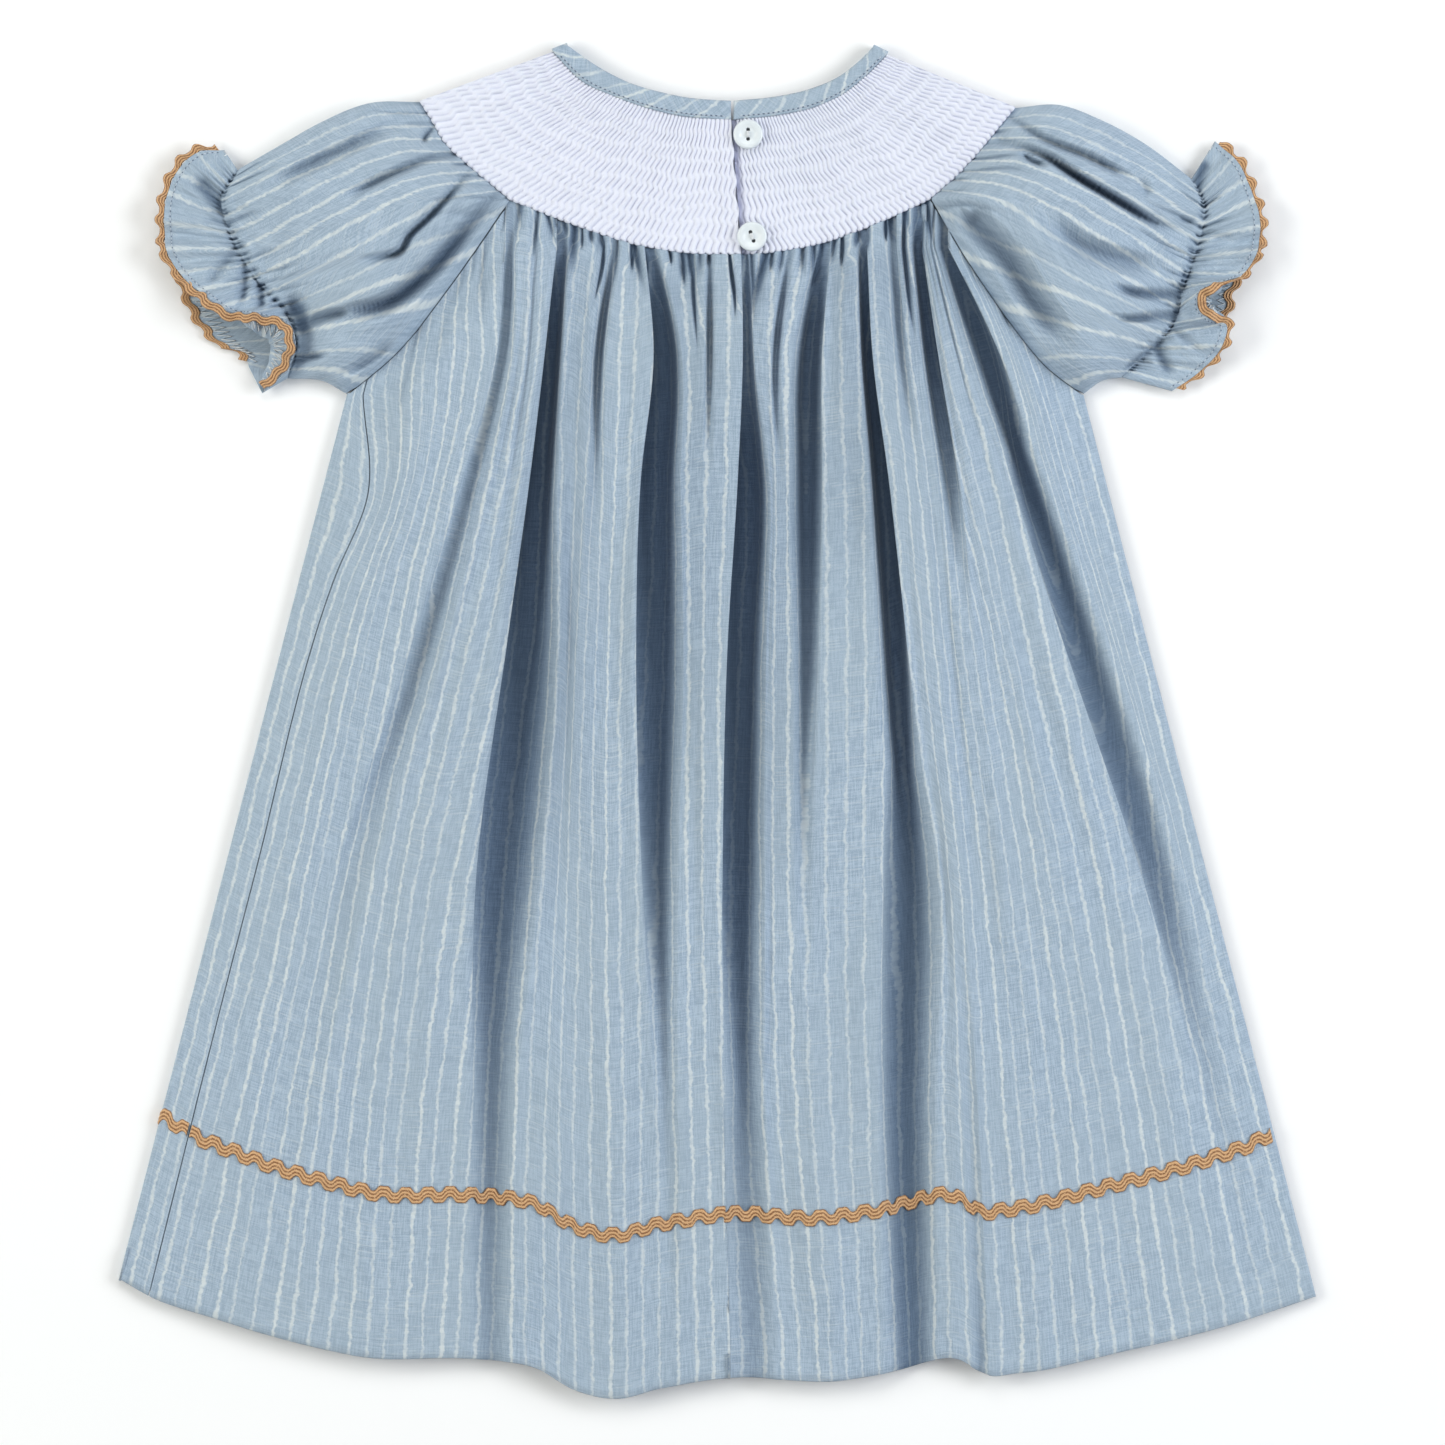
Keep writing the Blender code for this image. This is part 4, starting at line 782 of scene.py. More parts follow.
# A crease is a trough along a path; sharp on its shoulder side, open at its start, tapering to its end
creaseColumns = "half depth sharp open taper path"
sleeves = dict(
    left=dict(
        elastic=((-165.5, 130.5), (-162.1, 143.1), (-166.6, 156.4), (-175, 165.9), (-182.2, 176.9),
                 (-187.5, 187.5), (-190.2, 198.2), (-184.5, 209.9)),
        under=((-143.1, 124.7), (-152, 129.5), (-165.5, 130.5)),
        over=((-115, 235.8), (-133.9, 235.4), (-153, 227.8), (-166, 220.5), (-184.5, 209.9)),
        upperEdge=((-175, 124.8, 2.6), (-165, 134.3, 9), (-161.8, 143.1, 12), (-165, 151.1, 12.5),
                   (-175, 154.1, 12), (-187.2, 155.6, 11), (-196.3, 161.7, 9.5), (-204.6, 168.5, 8.5),
                   (-210.7, 178.4, 7.5), (-211.8, 189.8, 7), (-210.3, 202, 6.5), (-205.4, 211.1, 5.5),
                   (-198.6, 216.4, 4.5), (-189.4, 217.2, 3)),
        lowerEdge=((-179.9, 133.6), (-182, 139.7), (-188.9, 142.7), (-197.2, 151.1), (-202.8, 161.7),
                   (-206.2, 174.6), (-206.8, 189.8), (-203.2, 203.4), (-196.7, 211.6)),
        creases=table(creaseColumns, (
            (5, 0.38, 0.8, 0.2, 0, ((-118.1, 230.1), (-138.7, 219.8), (-160.2, 209.5), (-178.1, 199.6))),
            (1.6, 0.5, 0, 1, 0, ((-110.5, 225.2), (-112.7, 222.5), (-114, 218.9))),
            (3, 0.35, 0.7, 1, 0, ((-102, 215.3), (-110.9, 214), (-119, 210.4), (-145, 197.5))),
            (3.1, 0.42, 0.9, 0.6, 0, ((-96.1, 209.9), (-103.7, 199.6), (-111.8, 190.7), (-119, 183.5),
             (-122.1, 178.1), (-128.8, 175.9), (-140.5, 174.1))),
            (7, 0.66, 1, 0.45, 0, ((-85.8, 201.4), (-98.4, 187.1), (-112.7, 171), (-127.9, 159.3),
             (-141.4, 155.3), (-153, 151.7))),
            (5.5, 0.72, 0, 0, 0, ((-167.4, 162), (-162, 156.6), (-159.3, 149.5), (-160.2, 144))),
            (4, 0.45, 0, 1, 0.5, ((-162.5, 149.5), (-149.4, 153.5), (-136.9, 155.7))),
            (3.2, 0.42, 0, 1, 0.6, ((-164, 136.8), (-158, 138), (-149, 139))),
            (2.4, 0.35, 0, 0, 0, ((-146.8, 130.2), (-138.7, 134.2), (-122.6, 145))),
        )),
        ruffleCreases=table(creaseColumns, (
            (5, 0.8, 0, 1, 0, ((-189, 194.5), (-195.1, 201.4), (-201, 208))),
            (2.6, 0.55, 0, 1, 0, ((-181.7, 172), (-181.7, 163.8), (-183.5, 156.6))),
            (2.4, 0.6, 0, 1, 0, ((-176, 167.5), (-175.4, 161.1), (-174.5, 155))),
            (3, 0.4, 0, 1, 0, ((-186, 178), (-193.4, 168.3), (-196, 164))),
        )),
    ),
    right=dict(
        elastic=((151.8, 130.9), (165.5, 144.2), (172.3, 153.3), (174.6, 164), (178, 174.6), (181.4, 184.9),
                 (183, 196.3), (178.4, 206.5)),
        under=((137.5, 124.7), (144.5, 129.6), (151.8, 130.9)),
        over=((111.2, 233.5), (128, 234.6), (143.6, 229), (158.7, 221), (178.4, 206.5)),
        upperEdge=((170.8, 125.6, 2.6), (181.1, 132.8, 4.5), (189.4, 142.3, 6.5), (191, 150.5, 9.5),
                   (184.1, 152.4, 11), (179.9, 157.5, 12), (180.7, 162.8, 11.5), (187.5, 166, 10.5),
                   (196.7, 169.2, 9), (203.1, 179.2, 7.5), (203.9, 189.8, 6.5), (200.8, 202, 5.5),
                   (195.9, 212.2, 4.5), (187.2, 220.6, 3)),
        lowerEdge=((163.5, 129.5), (170, 134.5), (180.5, 142), (190, 152), (193, 163), (197.8, 176.3),
                   (198.9, 188.7), (195.2, 200.5), (188.5, 209)),
        creases=table(creaseColumns, (
            (3.6, 0.62, 0.8, 0.4, 0, ((105.6, 220.6), (121.1, 215.2), (136.6, 205.5), (152.1, 196.5),
             (167.6, 188), (180, 184.5))),
            (3, 0.4, 0.7, 0.8, 0, ((110.6, 229.1), (121.1, 221.7), (138.2, 214.4), (159.9, 203.5))),
            (2, 0.35, 0, 0, 0, ((111.8, 216.3), (118.8, 211.7), (124, 211))),
            (6.5, 0.38, 0.4, 0, 0, ((117, 193), (130.4, 184.1), (141.3, 177.9), (152.1, 174.8),
             (173.8, 171))),
            (8.5, 0.5, 0.5, 1, 0, ((96, 189), (109.5, 174.1), (118, 160.9), (127.3, 146.9), (133, 138))),
            (4, 0.5, 0, 1, 0.6, ((175.4, 162.6), (166, 161.8), (156, 162.4), (146, 165.5))),
            (3.4, 0.45, 0, 1, 0.65, ((173.2, 154.3), (165, 153.6), (154, 152.6), (145, 153.6))),
            (1.6, 0.4, 0, 0, 0, ((181.6, 190.3), (176.2, 190.3), (172.3, 191.9))),
            (2.2, 0.45, 0, 1, 0.3, ((166, 144.2), (158.5, 138.4), (150, 131.8))),
            (3, 0.2, 0, 0, 0, ((158, 207), (160, 202), (162.2, 198.1))),
        )),
        ruffleCreases=table(creaseColumns, (
            (3.6, 0.75, 0, 1, 0, ((180.3, 203.5), (182, 209), (185, 214.5))),
            (3.2, 0.65, 0, 1, 0, ((164.5, 144), (167.6, 136.8), (172, 131))),
            (2.2, 0.35, 0, 1, 0, ((170.5, 150), (176.9, 144), (184, 140))),
            (2.4, 0.3, 0, 1, 0, ((181.5, 186), (189, 184), (197, 184))),
        )),
    ),
)
puff = dict(clear=1.0, corner=13 / 22, height=17.0, elasticHeight=7.5, seamHeight=2.1, waves=7,
            waveHeight=1.9, ruffleLift=1.4, ruffleDip=4.0, clothAcross=90, topLength=112, bodyLength=90,
            ruffleLength=25, pinch=1.7, pinchHalf=2.2, shadeDepth=3.2)


def patch(inner, outer, under, over, u, v):
    # a sheet between four edges: u from the armhole to the cuff, v from underarm to shoulder
    u, w = u[:, None, None], v[None, :, None]
    corners = ((1 - u) * (1 - w) * inner[0] + u * (1 - w) * outer[0]
               + (1 - u) * w * inner[-1] + u * w * outer[-1])
    return (1 - u) * inner[None] + u * outer[None] + (1 - w) * under[:, None] + w * over[:, None] - corners


def creaseDepth(x, y, creases, shoulder):
    # each crease is a trough along a bent line: steep towards the shoulder if sharp, fading at its
    # far end, and at its start too unless it is open there
    total = np.zeros(x.shape)
    t = np.linspace(0, 1, 49)
    for crease in creases:
        path = along(crease["path"], t)
        way = unit(np.gradient(path, axis=0))
        dx, dy = x[..., None] - path[:, 0], y[..., None] - path[:, 1]
        near = np.argmin(dx**2 + dy**2, -1)
        offX, offY = (np.take_along_axis(field, near[..., None], -1)[..., 0] for field in (dx, dy))
        side = (way[near, 0] * offY - way[near, 1] * offX) * shoulder
        half = crease["half"] * (1 - 0.6 * crease["sharp"] * ease(side * 4 + 0.5))
        half = half * (1 - crease["taper"] * t[near])
        fade = ease(3.0 * (1 - t)) * (crease["open"] + (1 - crease["open"]) * ease(2.6 * t))
        share = np.clip(np.hypot(offX, offY) / half, 0, 1)
        total = np.maximum(total, min(1.25 * crease["depth"], 0.92) * fade[near] * (1 - share**1.6) ** 1.4)
    return total


def armholeLine(side, v):
    # from the armpit up the raglan seam to the yoke's corner, then up the shoulder arc
    seam, arc = (raglanLeft, shoulderLeft) if side == "left" else (raglanRight, shoulderRight)
    armpit, corner = (seam[0], seam[-1]) if side == "left" else (seam[-1], seam[0])
    x = armpit[0] + (corner[0] - armpit[0]) * np.clip(v / puff["corner"], 0, 1)
    line = np.stack([x, heightAt(seam, x) + puff["clear"] * ease(1 - v * 22)], -1)
    upper = along(arc, np.clip((v - puff["corner"]) / (1 - puff["corner"]), 0, 1))
    return np.where((v > puff["corner"])[:, None], upper, line)


def makeSleeve(side):
    # a flattened puff, gathered into the elastic, then the flared ruffle past it, closed into a tube
    sizes, low = sleeves[side], skirt["lowSide"]
    seed, shoulder = (31, -1) if side == "left" else (57, 1)
    even = np.linspace(0, 1, 190)
    v = 0.6 * even + 0.4 * (0.5 - 0.5 * np.cos(math.pi * even))
    u = np.linspace(0.004, 1, 96)
    sheet = lambda shares: patch(armholeLine(side, shares), along(sizes["elastic"], shares),
                                 along(sizes["under"], u), along(sizes["over"], u), u, shares)
    plan = sheet(v)
    x, y = plan[..., 0], plan[..., 1]
    roundOver = np.sqrt(np.clip(1 - (2 * v - 1) ** 2, 0, 1))[None]
    rise = puff["seamHeight"] + (puff["height"] - puff["seamHeight"]) * np.sin(math.pi * u**0.8)
    rise = np.maximum(rise, np.where(u > 0.5, puff["elasticHeight"] - low, 0))[:, None]
    dip = creaseDepth(x, y, sizes["creases"], shoulder)
    # small gathers at the elastic and along the yoke, and a pinch right on the elastic
    top, length = puff["topLength"], puff["bodyLength"]
    acrossTop, fromCuff, fromYoke = v[None] * top, (1 - u[:, None]) * length, u[:, None] * length
    cuffPleats = looseTable(seed, 3, 110, (2.0, 6.0), (0.5, 2.0), (0.5, 1.0), (3, 34))
    knots = looseTable(seed + 3, 3, 110, (1.6, 4.4), (1.4, 3.4), (0.45, 0.8), (1.4, 3.6))
    yokePleats = looseTable(seed + 5, 58, 111, (3.2, 7.5), (0.6, 2.2), (0.6, 1.2), (7, 42))
    wander = rumple(acrossTop, fromYoke, 22, seed + 9) * 1.2
    tucks = valleys(acrossTop, fromCuff, knots)
    for run, small in ((fromCuff, cuffPleats), (fromYoke, yokePleats)):
        tucks = np.maximum(tucks, valleys(acrossTop + wander * np.clip(run / 20, 0, 1), run, small))
    pinchAt = lambda run: np.exp(-(run / puff["pinchHalf"]) ** 2)
    pinch = puff["pinch"] * pinchAt(fromCuff)
    soft = rumple(x, y, 30, seed + 1) * 0.7 + rumple(acrossTop, fromYoke * 0.25, 13, seed + 2) * 0.6
    height = rise * roundOver * (1 - dip) + soft * roundOver * np.sin(math.pi * u)[:, None]
    height = height - np.minimum(tucks + pinch, rise * 0.85 + 0.4) * roundOver**0.5
    body = np.concatenate([plan, (low + np.maximum(height, -0.8))[..., None]], -1)
    # the lower layer is flat on the table
    hidden = np.linspace(0, 1, 62)
    flatPlan, hidden = sheet(hidden)[:, -2:0:-1], hidden[-2:0:-1]
    flat = np.concatenate([flatPlan, np.full(flatPlan.shape[:2] + (1,), 0.08)], -1)
    rings = np.concatenate([body, flat], 1)
    rings[:, [0, len(v) - 1], 2] = low / 2
    # the ruffle flares from the last ring to its edge, in waves
    lower = along(sizes["lowerEdge"], hidden)
    lower = np.concatenate([lower, np.full((len(lower), 1), puff["ruffleLift"])], -1)
    edge = np.concatenate([along(sizes["upperEdge"], v), lower])
    flare = np.linspace(0, 1, 27)[1:, None, None]
    bell = np.concatenate([np.repeat(flare, 2, -1), flare**0.8], -1)
    ruffle = rings[-1] + (edge - rings[-1]) * bell
    upper = ruffle[:, :len(v)]
    turns = 2 * math.pi * puff["waves"] * v
    folded = np.sin(turns + 1.2 * np.sin(turns * 0.43 + seed)) + 0.35 * np.sin(2.3 * turns + seed)
    flare = flare[..., 0]
    fromElastic = flare * puff["ruffleLength"]
    smallFolds = valleys(acrossTop, fromElastic, dict(cuffPleats, reach=3 + cuffPleats["reach"] * 0.5))
    smallFolds = np.maximum(smallFolds, valleys(acrossTop, fromElastic, knots))
    bend = creaseDepth(upper[..., 0], upper[..., 1], sizes["ruffleCreases"], shoulder)
    swing = puff["waveHeight"] * folded * flare**0.6 - smallFolds - puff["pinch"] * pinchAt(fromElastic)
    swing = (swing - puff["ruffleDip"] * bend) * np.sin(math.pi * v) ** 0.5
    upper[..., 2] = np.maximum(upper[..., 2] + 1.2 + swing, 2.2)
    rings = np.concatenate([rings, ruffle])
    # painted shade: in the creases, the small gathers and at the elastic's pinch, and in the ruffle's creases and
    # folds
    shade = np.zeros(rings.shape[:2])
    deep = puff["shadeDepth"]
    shade[:len(u), :len(v)] = np.clip(np.maximum(dip * 1.15, (tucks + 0.3 * pinch) / deep), 0, 1)
    shade[len(u):, :len(v)] = np.clip(np.maximum(bend, (smallFolds + 0.5 * pinchAt(fromElastic)) / deep), 0, 1)
    # the armhole's edge is tucked in under the yoke, and given strong painted shade
    tuck = rings[:1].copy()
    tuck[..., 2] = np.where(tuck[..., 2] > 1.5, np.maximum(tuck[..., 2] - 2.2, 0.9), tuck[..., 2] + 0.6)
    rings = np.concatenate([tuck, rings])
    shade = np.concatenate([shade[:1] + 0.8, shade])
    # the stripes leave the yoke in a fan: few end at the raglan seam
    atSeam = np.interp(v, [0, puff["corner"], 1], [0, 0.34, 1])
    lean = np.concatenate([[1.0], (1 - u) ** 1.2, np.zeros(len(flare))])[:, None]
    wide = puff["clothAcross"]
    around = [wide * (v * (1 - lean) + atSeam * lean), np.repeat(wide * (2 - hidden)[None], len(rings), 0)]
    cloth = np.stack([np.concatenate(around, 1), lengths(rings, 0)], -1).transpose(1, 0, 2)
    order = 1 if side == "left" else -1
    cloth = np.concatenate([cloth[::order], cloth[::order][:1] + (order * 2 * wide, 0)])
    piece = addPiece("sleeve" + side.capitalize(), rings.transpose(1, 0, 2)[::order], ["sleeve_" + side],
                     cotton, cloth, shade.T[::order], wrap=True)
    return piece, rings, len(v)


curls = dict(
    # where the ruffle turns over: shares of its edge, and how strongly; then the strip seen past it
    left=dict(at=(0, 0.44, 0.56), turned=(1, 1, 0), offset=1.15, swing=0.95, calm=0.35, way=(-1, 1),
              strip=dict(width=10.0, drop=5.0, sewn=0.72)),
    right=dict(at=(0.25, 0.29, 0.45, 0.49), turned=(0, 1, 1, 0), offset=0.5, swing=1.2, calm=0.85, way=(1, -1),
               strip=dict(width=6.0, drop=3.0, sewn=1.0)),
)


def edgeFrame(side, rings, run, step):
    # places along a ruffle's edge, each with its directions outwards and up: where the ruffle turns
    # over, outwards is level and square to the edge
    curl = curls[side]
    edge = rings[-1, run]
    outward = unit(edge - rings[-3, run])
    way = unit(np.gradient(edge, axis=0))
    up = np.cross(way, outward)
    up *= np.sign(up[:, 2:].mean())
    length = lengths(edge, 0)
    at = np.linspace(2.0, length[-1] - 2.0, int(length[-1] / step))
    turned = np.interp(at / at[-1], curl["at"], curl["turned"]) * (run.start == 0)
    turned = turned[:, None]
    level = unit(np.stack([way[:, 1] * curl["way"][0], way[:, 0] * curl["way"][1], 0 * way[:, 0]], -1))
    out = readLine(outward, length, at) * (1 - turned) + readLine(level, length, at) * turned
    lift = readLine(up, length, at) * (1 - turned) + np.array((0, 0, 1.0)) * turned
    return at, readLine(edge, length, at)[:, None], unit(out)[:, None], unit(lift)[:, None], turned


def makeCuffBraid(name, node, side, rings, run, below):
    # rick-rack sewn behind a ruffle's edge: its scallops stand out past the cloth
    at, middle, out, lift, turned = edgeFrame(side, rings, run, 0.45)
    curl = curls[side]
    swing = curl["swing"] * (1 - curl["calm"] * turned) * braidWave(at)[:, None]
    offset = curl["offset"] + (1.7 - curl["offset"]) * turned + swing + (braidShares - 0.5) * braid["cuffWidth"]
    level = (below + (0.35 - below) * turned)[..., None]
    line = middle + out * offset[..., None]
    return addBraid(name, node, line + lift * (level + braidSection()), line + lift * (level - 0.1), at, 1)


def makeTube(name, path, radius, material, sides=6):
    # a round thread carried along a path, its ends drawn to a point
    path = np.asarray(path, float)
    way = unit(np.gradient(path, axis=0))
    side = unit(np.cross(way, (0.12, 0.2, 0.97)))
    up = np.cross(side, way)
    angle = np.linspace(0, 2 * math.pi, sides + 1)
    thick = np.full(len(path), radius)
    thick[[0, -1]] *= 0.05
    ring = np.cos(angle)[None, :, None] * side[:, None] + np.sin(angle)[None, :, None] * up[:, None]
    return addPiece(name, path[:, None] + ring * thick[:, None, None], [], material)


def makeStitches(name, line, up, pitch, length, radius, material, start=0.0):
    # a row of short stitches: one small spindle, repeated along the line
    run = lengths(line, 0)
    at = np.arange(pitch + start, run[-1] - pitch, pitch)
    way = unit(readLine(line, run, at + 0.4) - readLine(line, run, at - 0.4))
    up = unit(readLine(up, run, at))
    side = np.cross(way, up)
    t = np.linspace(-1, 1, 6)
    angle = np.linspace(0, 2 * math.pi, 7)[None, None, :, None]
    bulge = radius * np.sqrt(np.clip(1 - t**2, 0.003, 1))
    centre = readLine(line, run, at)[:, None, None] + way[:, None, None] * (t * length / 2)[None, :, None, None]
    ring = np.cos(angle) * side[:, None, None] + np.sin(angle) * up[:, None, None]
    return addPiece(name, centre + ring * bulge[None, :, None, None], [], material, groups=len(at))


def makeTurnedEdge(side, rings, tops, width, drop, sewn):
    # the cloth's inside, seen past the rick-rack where the ruffle turns over, evenly painted with some shade, with
    # its overlocking
    at, middle, out, _, turned = edgeFrame(side, rings, slice(0, tops), 0.6)
    keep = turned[:, 0] > 0.5
    at, middle, out = at[keep], middle[keep], out[keep]
    share = (at - at[0]) / (at[-1] - at[0])
    narrow, lowest, pitch = 3.0, 2.6, 1.3
    reach = narrow + (width - narrow) * np.sin(math.pi * np.clip(share / sewn, 0, 1)) ** 0.7
    across = np.linspace(0, 1, 14)
    line = middle + out * (across[None] * reach[:, None])[..., None]
    fall = drop * across[None]**1.7 * (reach / width)[:, None]
    ripple = 0.35 * rumple(at[:, None], across[None] * 8, 9, 41) * across[None]
    line[..., 2] = np.maximum(line[..., 2] - fall + ripple, lowest) - 0.1
    cloth = np.stack(np.broadcast_arrays(at[:, None], across[None] * width), -1)
    # painted shade: the whole strip is darkened evenly
    strip = addPiece("turnedEdge" + side.capitalize(), line[::1 if side == "left" else -1], [], cotton,
                     cloth, np.full(line.shape[:2], 0.25))
    steps = np.arange(0, int((at[-1] - at[0]) * sewn / pitch))
    rows = np.interp(steps * pitch + at[0], at, np.arange(len(at)))
    zigzag = readGrid(line, rows, np.where(steps % 2, 5.2, 10.5)) + (0, 0, 0.3)
    return [strip, makeTube("turnedOverlock" + side.capitalize(), zigzag, 0.36, whiteThread, 5)]


def makeRuffleSewing(cap, rings, tops):
    # stitches on top, with dark spindles between them for their needle holes as painted shade, and inside a thread
    # that zigzags over the cut edge
    normal = facing(rings)
    normal = normal * np.sign(normal[-6:, :tops, 2].mean())
    up = normal[-3, :tops]
    line = rings[-3, :tops] * 0.6 + rings[-4, :tops] * 0.4 + up * 0.05
    steps = np.arange(340)
    across = np.interp(steps, [0, steps[-1]], [1, rings.shape[1] - 2])
    rows = rings.shape[0] - 1 - np.where(steps % 2, 1.2, 5.6)
    zigzag = readGrid(rings, rows, across) - readGrid(normal, rows, across) * 0.28
    return [makeStitches("ruffleStitches" + cap, line, up, 2.1, 1.3, 0.24, blueThread),
            makeStitches("ruffleHoles" + cap, line, up, 2.1, 0.7, 0.2, holeShade, 1.05),
            makeTube("overlock" + cap, zigzag, 0.24, whiteThread, 5)]


for side, curl in curls.items():
    sleeve, rings, tops = makeSleeve(side)
    cap = side.capitalize()
    sewnOn = [makeCuffBraid("cuffBraid" + cap, "cuff_trim_" + side, side, rings, slice(0, tops), -0.75),
              makeCuffBraid("cuffBraidInner" + cap, "cuff_trim_inner_" + side, side, rings, slice(tops, None), 0.1)]
    sewnOn += makeTurnedEdge(side, rings, tops, **curl["strip"]) + makeRuffleSewing(cap, rings, tops)
print("sleeves")

neck = dict(
    leftIn=((3.2, 235.8), (-12.3, 236.9), (-23.8, 239.2), (-35.1, 242.6), (-46.5, 248.3), (-58.7, 256.7)),
    leftOut=((3.2, 228.6), (-16.1, 230.1), (-31.4, 233.9), (-42.8, 238.1), (-52, 242.3), (-64.4, 254.4)),
    rightIn=((4.2, 235.8), (21.9, 237.7), (33.2, 240.3), (44.6, 245.3), (51.5, 250.6), (57, 256.1)),
    rightOut=((4.2, 228.6), (21.9, 230.5), (35.1, 233.5), (46, 238.6), (54, 245), (62.4, 253.4)),
    frontIn=((-58.7, 256.7), (-40, 238), (0, 226), (40, 238), (57, 256.1)),
    frontOut=((-64.4, 254.4), (-45, 231.5), (0, 218.6), (45, 231.5), (62.4, 253.4)),
)
yoke = dict(under=2.9, wall=2.5, pleats=52, pleatHeight=1.25, rows=9, swing=0.9, columnsPerPleat=8,
            rowsPerRow=8, openingTop=(3.3, 228.6), openingFoot=(7.2, 177.8), openingGap=0.12)
# The two back halves: the left one laps over the right one at the opening
halves = dict(
    # valleyShade is how strongly each half's valleys between pleats are given painted shade
    left=dict(order=-1, arc=shoulderLeft, neckLine=neck["leftOut"], seed=3, valleyShade=0.76, lift=0.9, liftFades=40),
    right=dict(order=1, arc=shoulderRight, neckLine=neck["rightOut"], seed=8, valleyShade=0.92, lift=-1.5, liftFades=30),
)
frontYoke = dict(pleats=96, columnsPerPleat=6, rows=55, seed=15, top=0.9, deep=0.75, lid=2.45)


def yokeFoot(left, right, shares):
    # the yoke's lower edge, arc and shoulders, from left to right, read at shares of its length
    x = np.linspace(yokeArc[0][0], yokeArc[-1][0], 241)
    arc = np.stack([x, heightAt(yokeArc, x)], -1)
    foot = yoke["openingFoot"][0]
    ends = [along(line, np.linspace(0, 1, 41)) for line in (shoulderLeft, shoulderRight)]
    if left and right:
        line = np.concatenate([ends[0][::-1][:-1], arc, ends[1][1:]])
    else:
        arc = arc[x <= foot][::-1] if left else arc[x >= foot]
        line = np.concatenate([arc, ends[0 if left else 1][1:]])
    run = lengths(line, 0)
    return readLine(line, run, shares * run[-1])


def smocking(first, last, rows, shares, seed, pleats):
    # pleats from the neck to the yoke's lower edge: they swing from one stitched row to the next, and
    # each stitch row draws them down a little
    dice = np.random.default_rng(seed)
    rows, shares = rows[None], shares[:, None]
    loose = ease(rows * 5) * ease((1 - rows) * 8)
    row = rows * yoke["rows"] + 0.3 * loose * rumple(shares * 90, rows * 50, 17, seed + 4)
    row = np.clip(row, 0, yoke["rows"])
    within = row - np.floor(row)
    stitch = np.minimum(within, 1 - within)
    lean = (0.5 - within) * ease(stitch * 5) * yoke["swing"] * ease(rows * 6)
    wander = rumple(shares * 90, rows * 50, 24, seed) * 0.55
    pleatNumber = shares * pleats + lean + wander * 0.6
    crown = np.sin(math.pi * (pleatNumber - np.floor(pleatNumber))) ** 0.6
    number = np.clip(np.floor(pleatNumber).astype(int), 0, pleats)
    tall = dice.uniform(0.75, 1.12, pleats + 2)[number]
    # the stitched rows hold the pleats shut, and between them the valleys open by uneven amounts
    cell = dice.uniform(0.62, 1.0, (pleats + 2, yoke["rows"] + 2))[number, np.floor(row).astype(int)]
    straight = 1 - ease((rows - 0.12) * 8)
    opened = np.maximum(0.46 + 0.54 * ease(stitch * 3.0) * cell, 0.66 * straight)
    opened = np.maximum(opened, ease((rows - 0.93) * 14))
    height = (1 - (1 - crown) * (0.25 + 0.75 * opened)) * tall
    plan = first[:, None] * (1 - rows)[..., None] + last[:, None] * rows[..., None]
    # the third result is the painted shade in the valleys between the pleats
    return plan, height, (1 - crown) * opened


def makeYokeHalf(side):
    # smocked cloth over a plain edge, higher or lower at the opening, where the left half laps over
    half, left = halves[side], side == "left"
    shares = np.linspace(0, 1, yoke["pleats"] * yoke["columnsPerPleat"] + 1)
    rows = np.linspace(0, 1, yoke["rows"] * yoke["rowsPerRow"] + 1)
    first, last = along(half["neckLine"], shares), yokeFoot(left, not left, shares)
    gap = (half["order"] * yoke["openingGap"], 0)
    first[0], last[0] = np.array(yoke["openingTop"]) + gap, np.array(yoke["openingFoot"]) + gap
    plan, height, valleyShade = smocking(first, last, rows, shares, half["seed"], yoke["pleats"])
    valleyShade = np.clip(valleyShade * half["valleyShade"], 0, 1)
    level = yoke["under"] + yoke["wall"] - 0.45 + yoke["pleatHeight"] * height
    level = level + half["lift"] * np.exp(-shares * half["liftFades"])[:, None]
    if left:
        edgeWave = 0.45 * np.sin(2 * math.pi * (rows * yoke["rows"] * 0.5 + 0.2)) * np.sin(math.pi * rows)
        plan[..., 0] += edgeWave[None] * np.exp(-shares * 45)[:, None]
    else:
        # painted shade on the right half beside the opening, under the left half's edge
        valleyShade = np.maximum(valleyShade, 0.75 * np.exp(-(shares * 45) ** 2)[:, None])
    level = level + 0.3 * rumple(plan[..., 0], plan[..., 1], 40, 71)
    ends = unit(last - first)
    plan[:, -1] += ends * 0.45 * (height[:, -1:] - 0.7)
    points = np.concatenate([plan, level[..., None]], -1)
    under = lambda line: np.concatenate([line[..., :2], np.full(line.shape[:-1] + (1,), yoke["under"])], -1)
    rounded = points[:, -1:] + np.concatenate([ends * 0.25, np.full((len(ends), 1), -0.5)], 1)[:, None]
    points = np.concatenate([under(points[:, :1]), points, rounded, under(rounded)], 1)
    points = np.concatenate([under(points[:1]), points, under(points[-1:])], 0)
    cloth = np.stack([lengths(points, 0), lengths(points, 1)], -1)
    shade = np.pad(valleyShade, ((1, 1), (1, 2)), "edge")
    flip = lambda field: field[::half["order"], ::-1]
    return addPiece("yokeBack" + side.capitalize(), flip(points), ["yoke_back_" + side], whiteCotton,
                    flip(cloth), flip(shade))


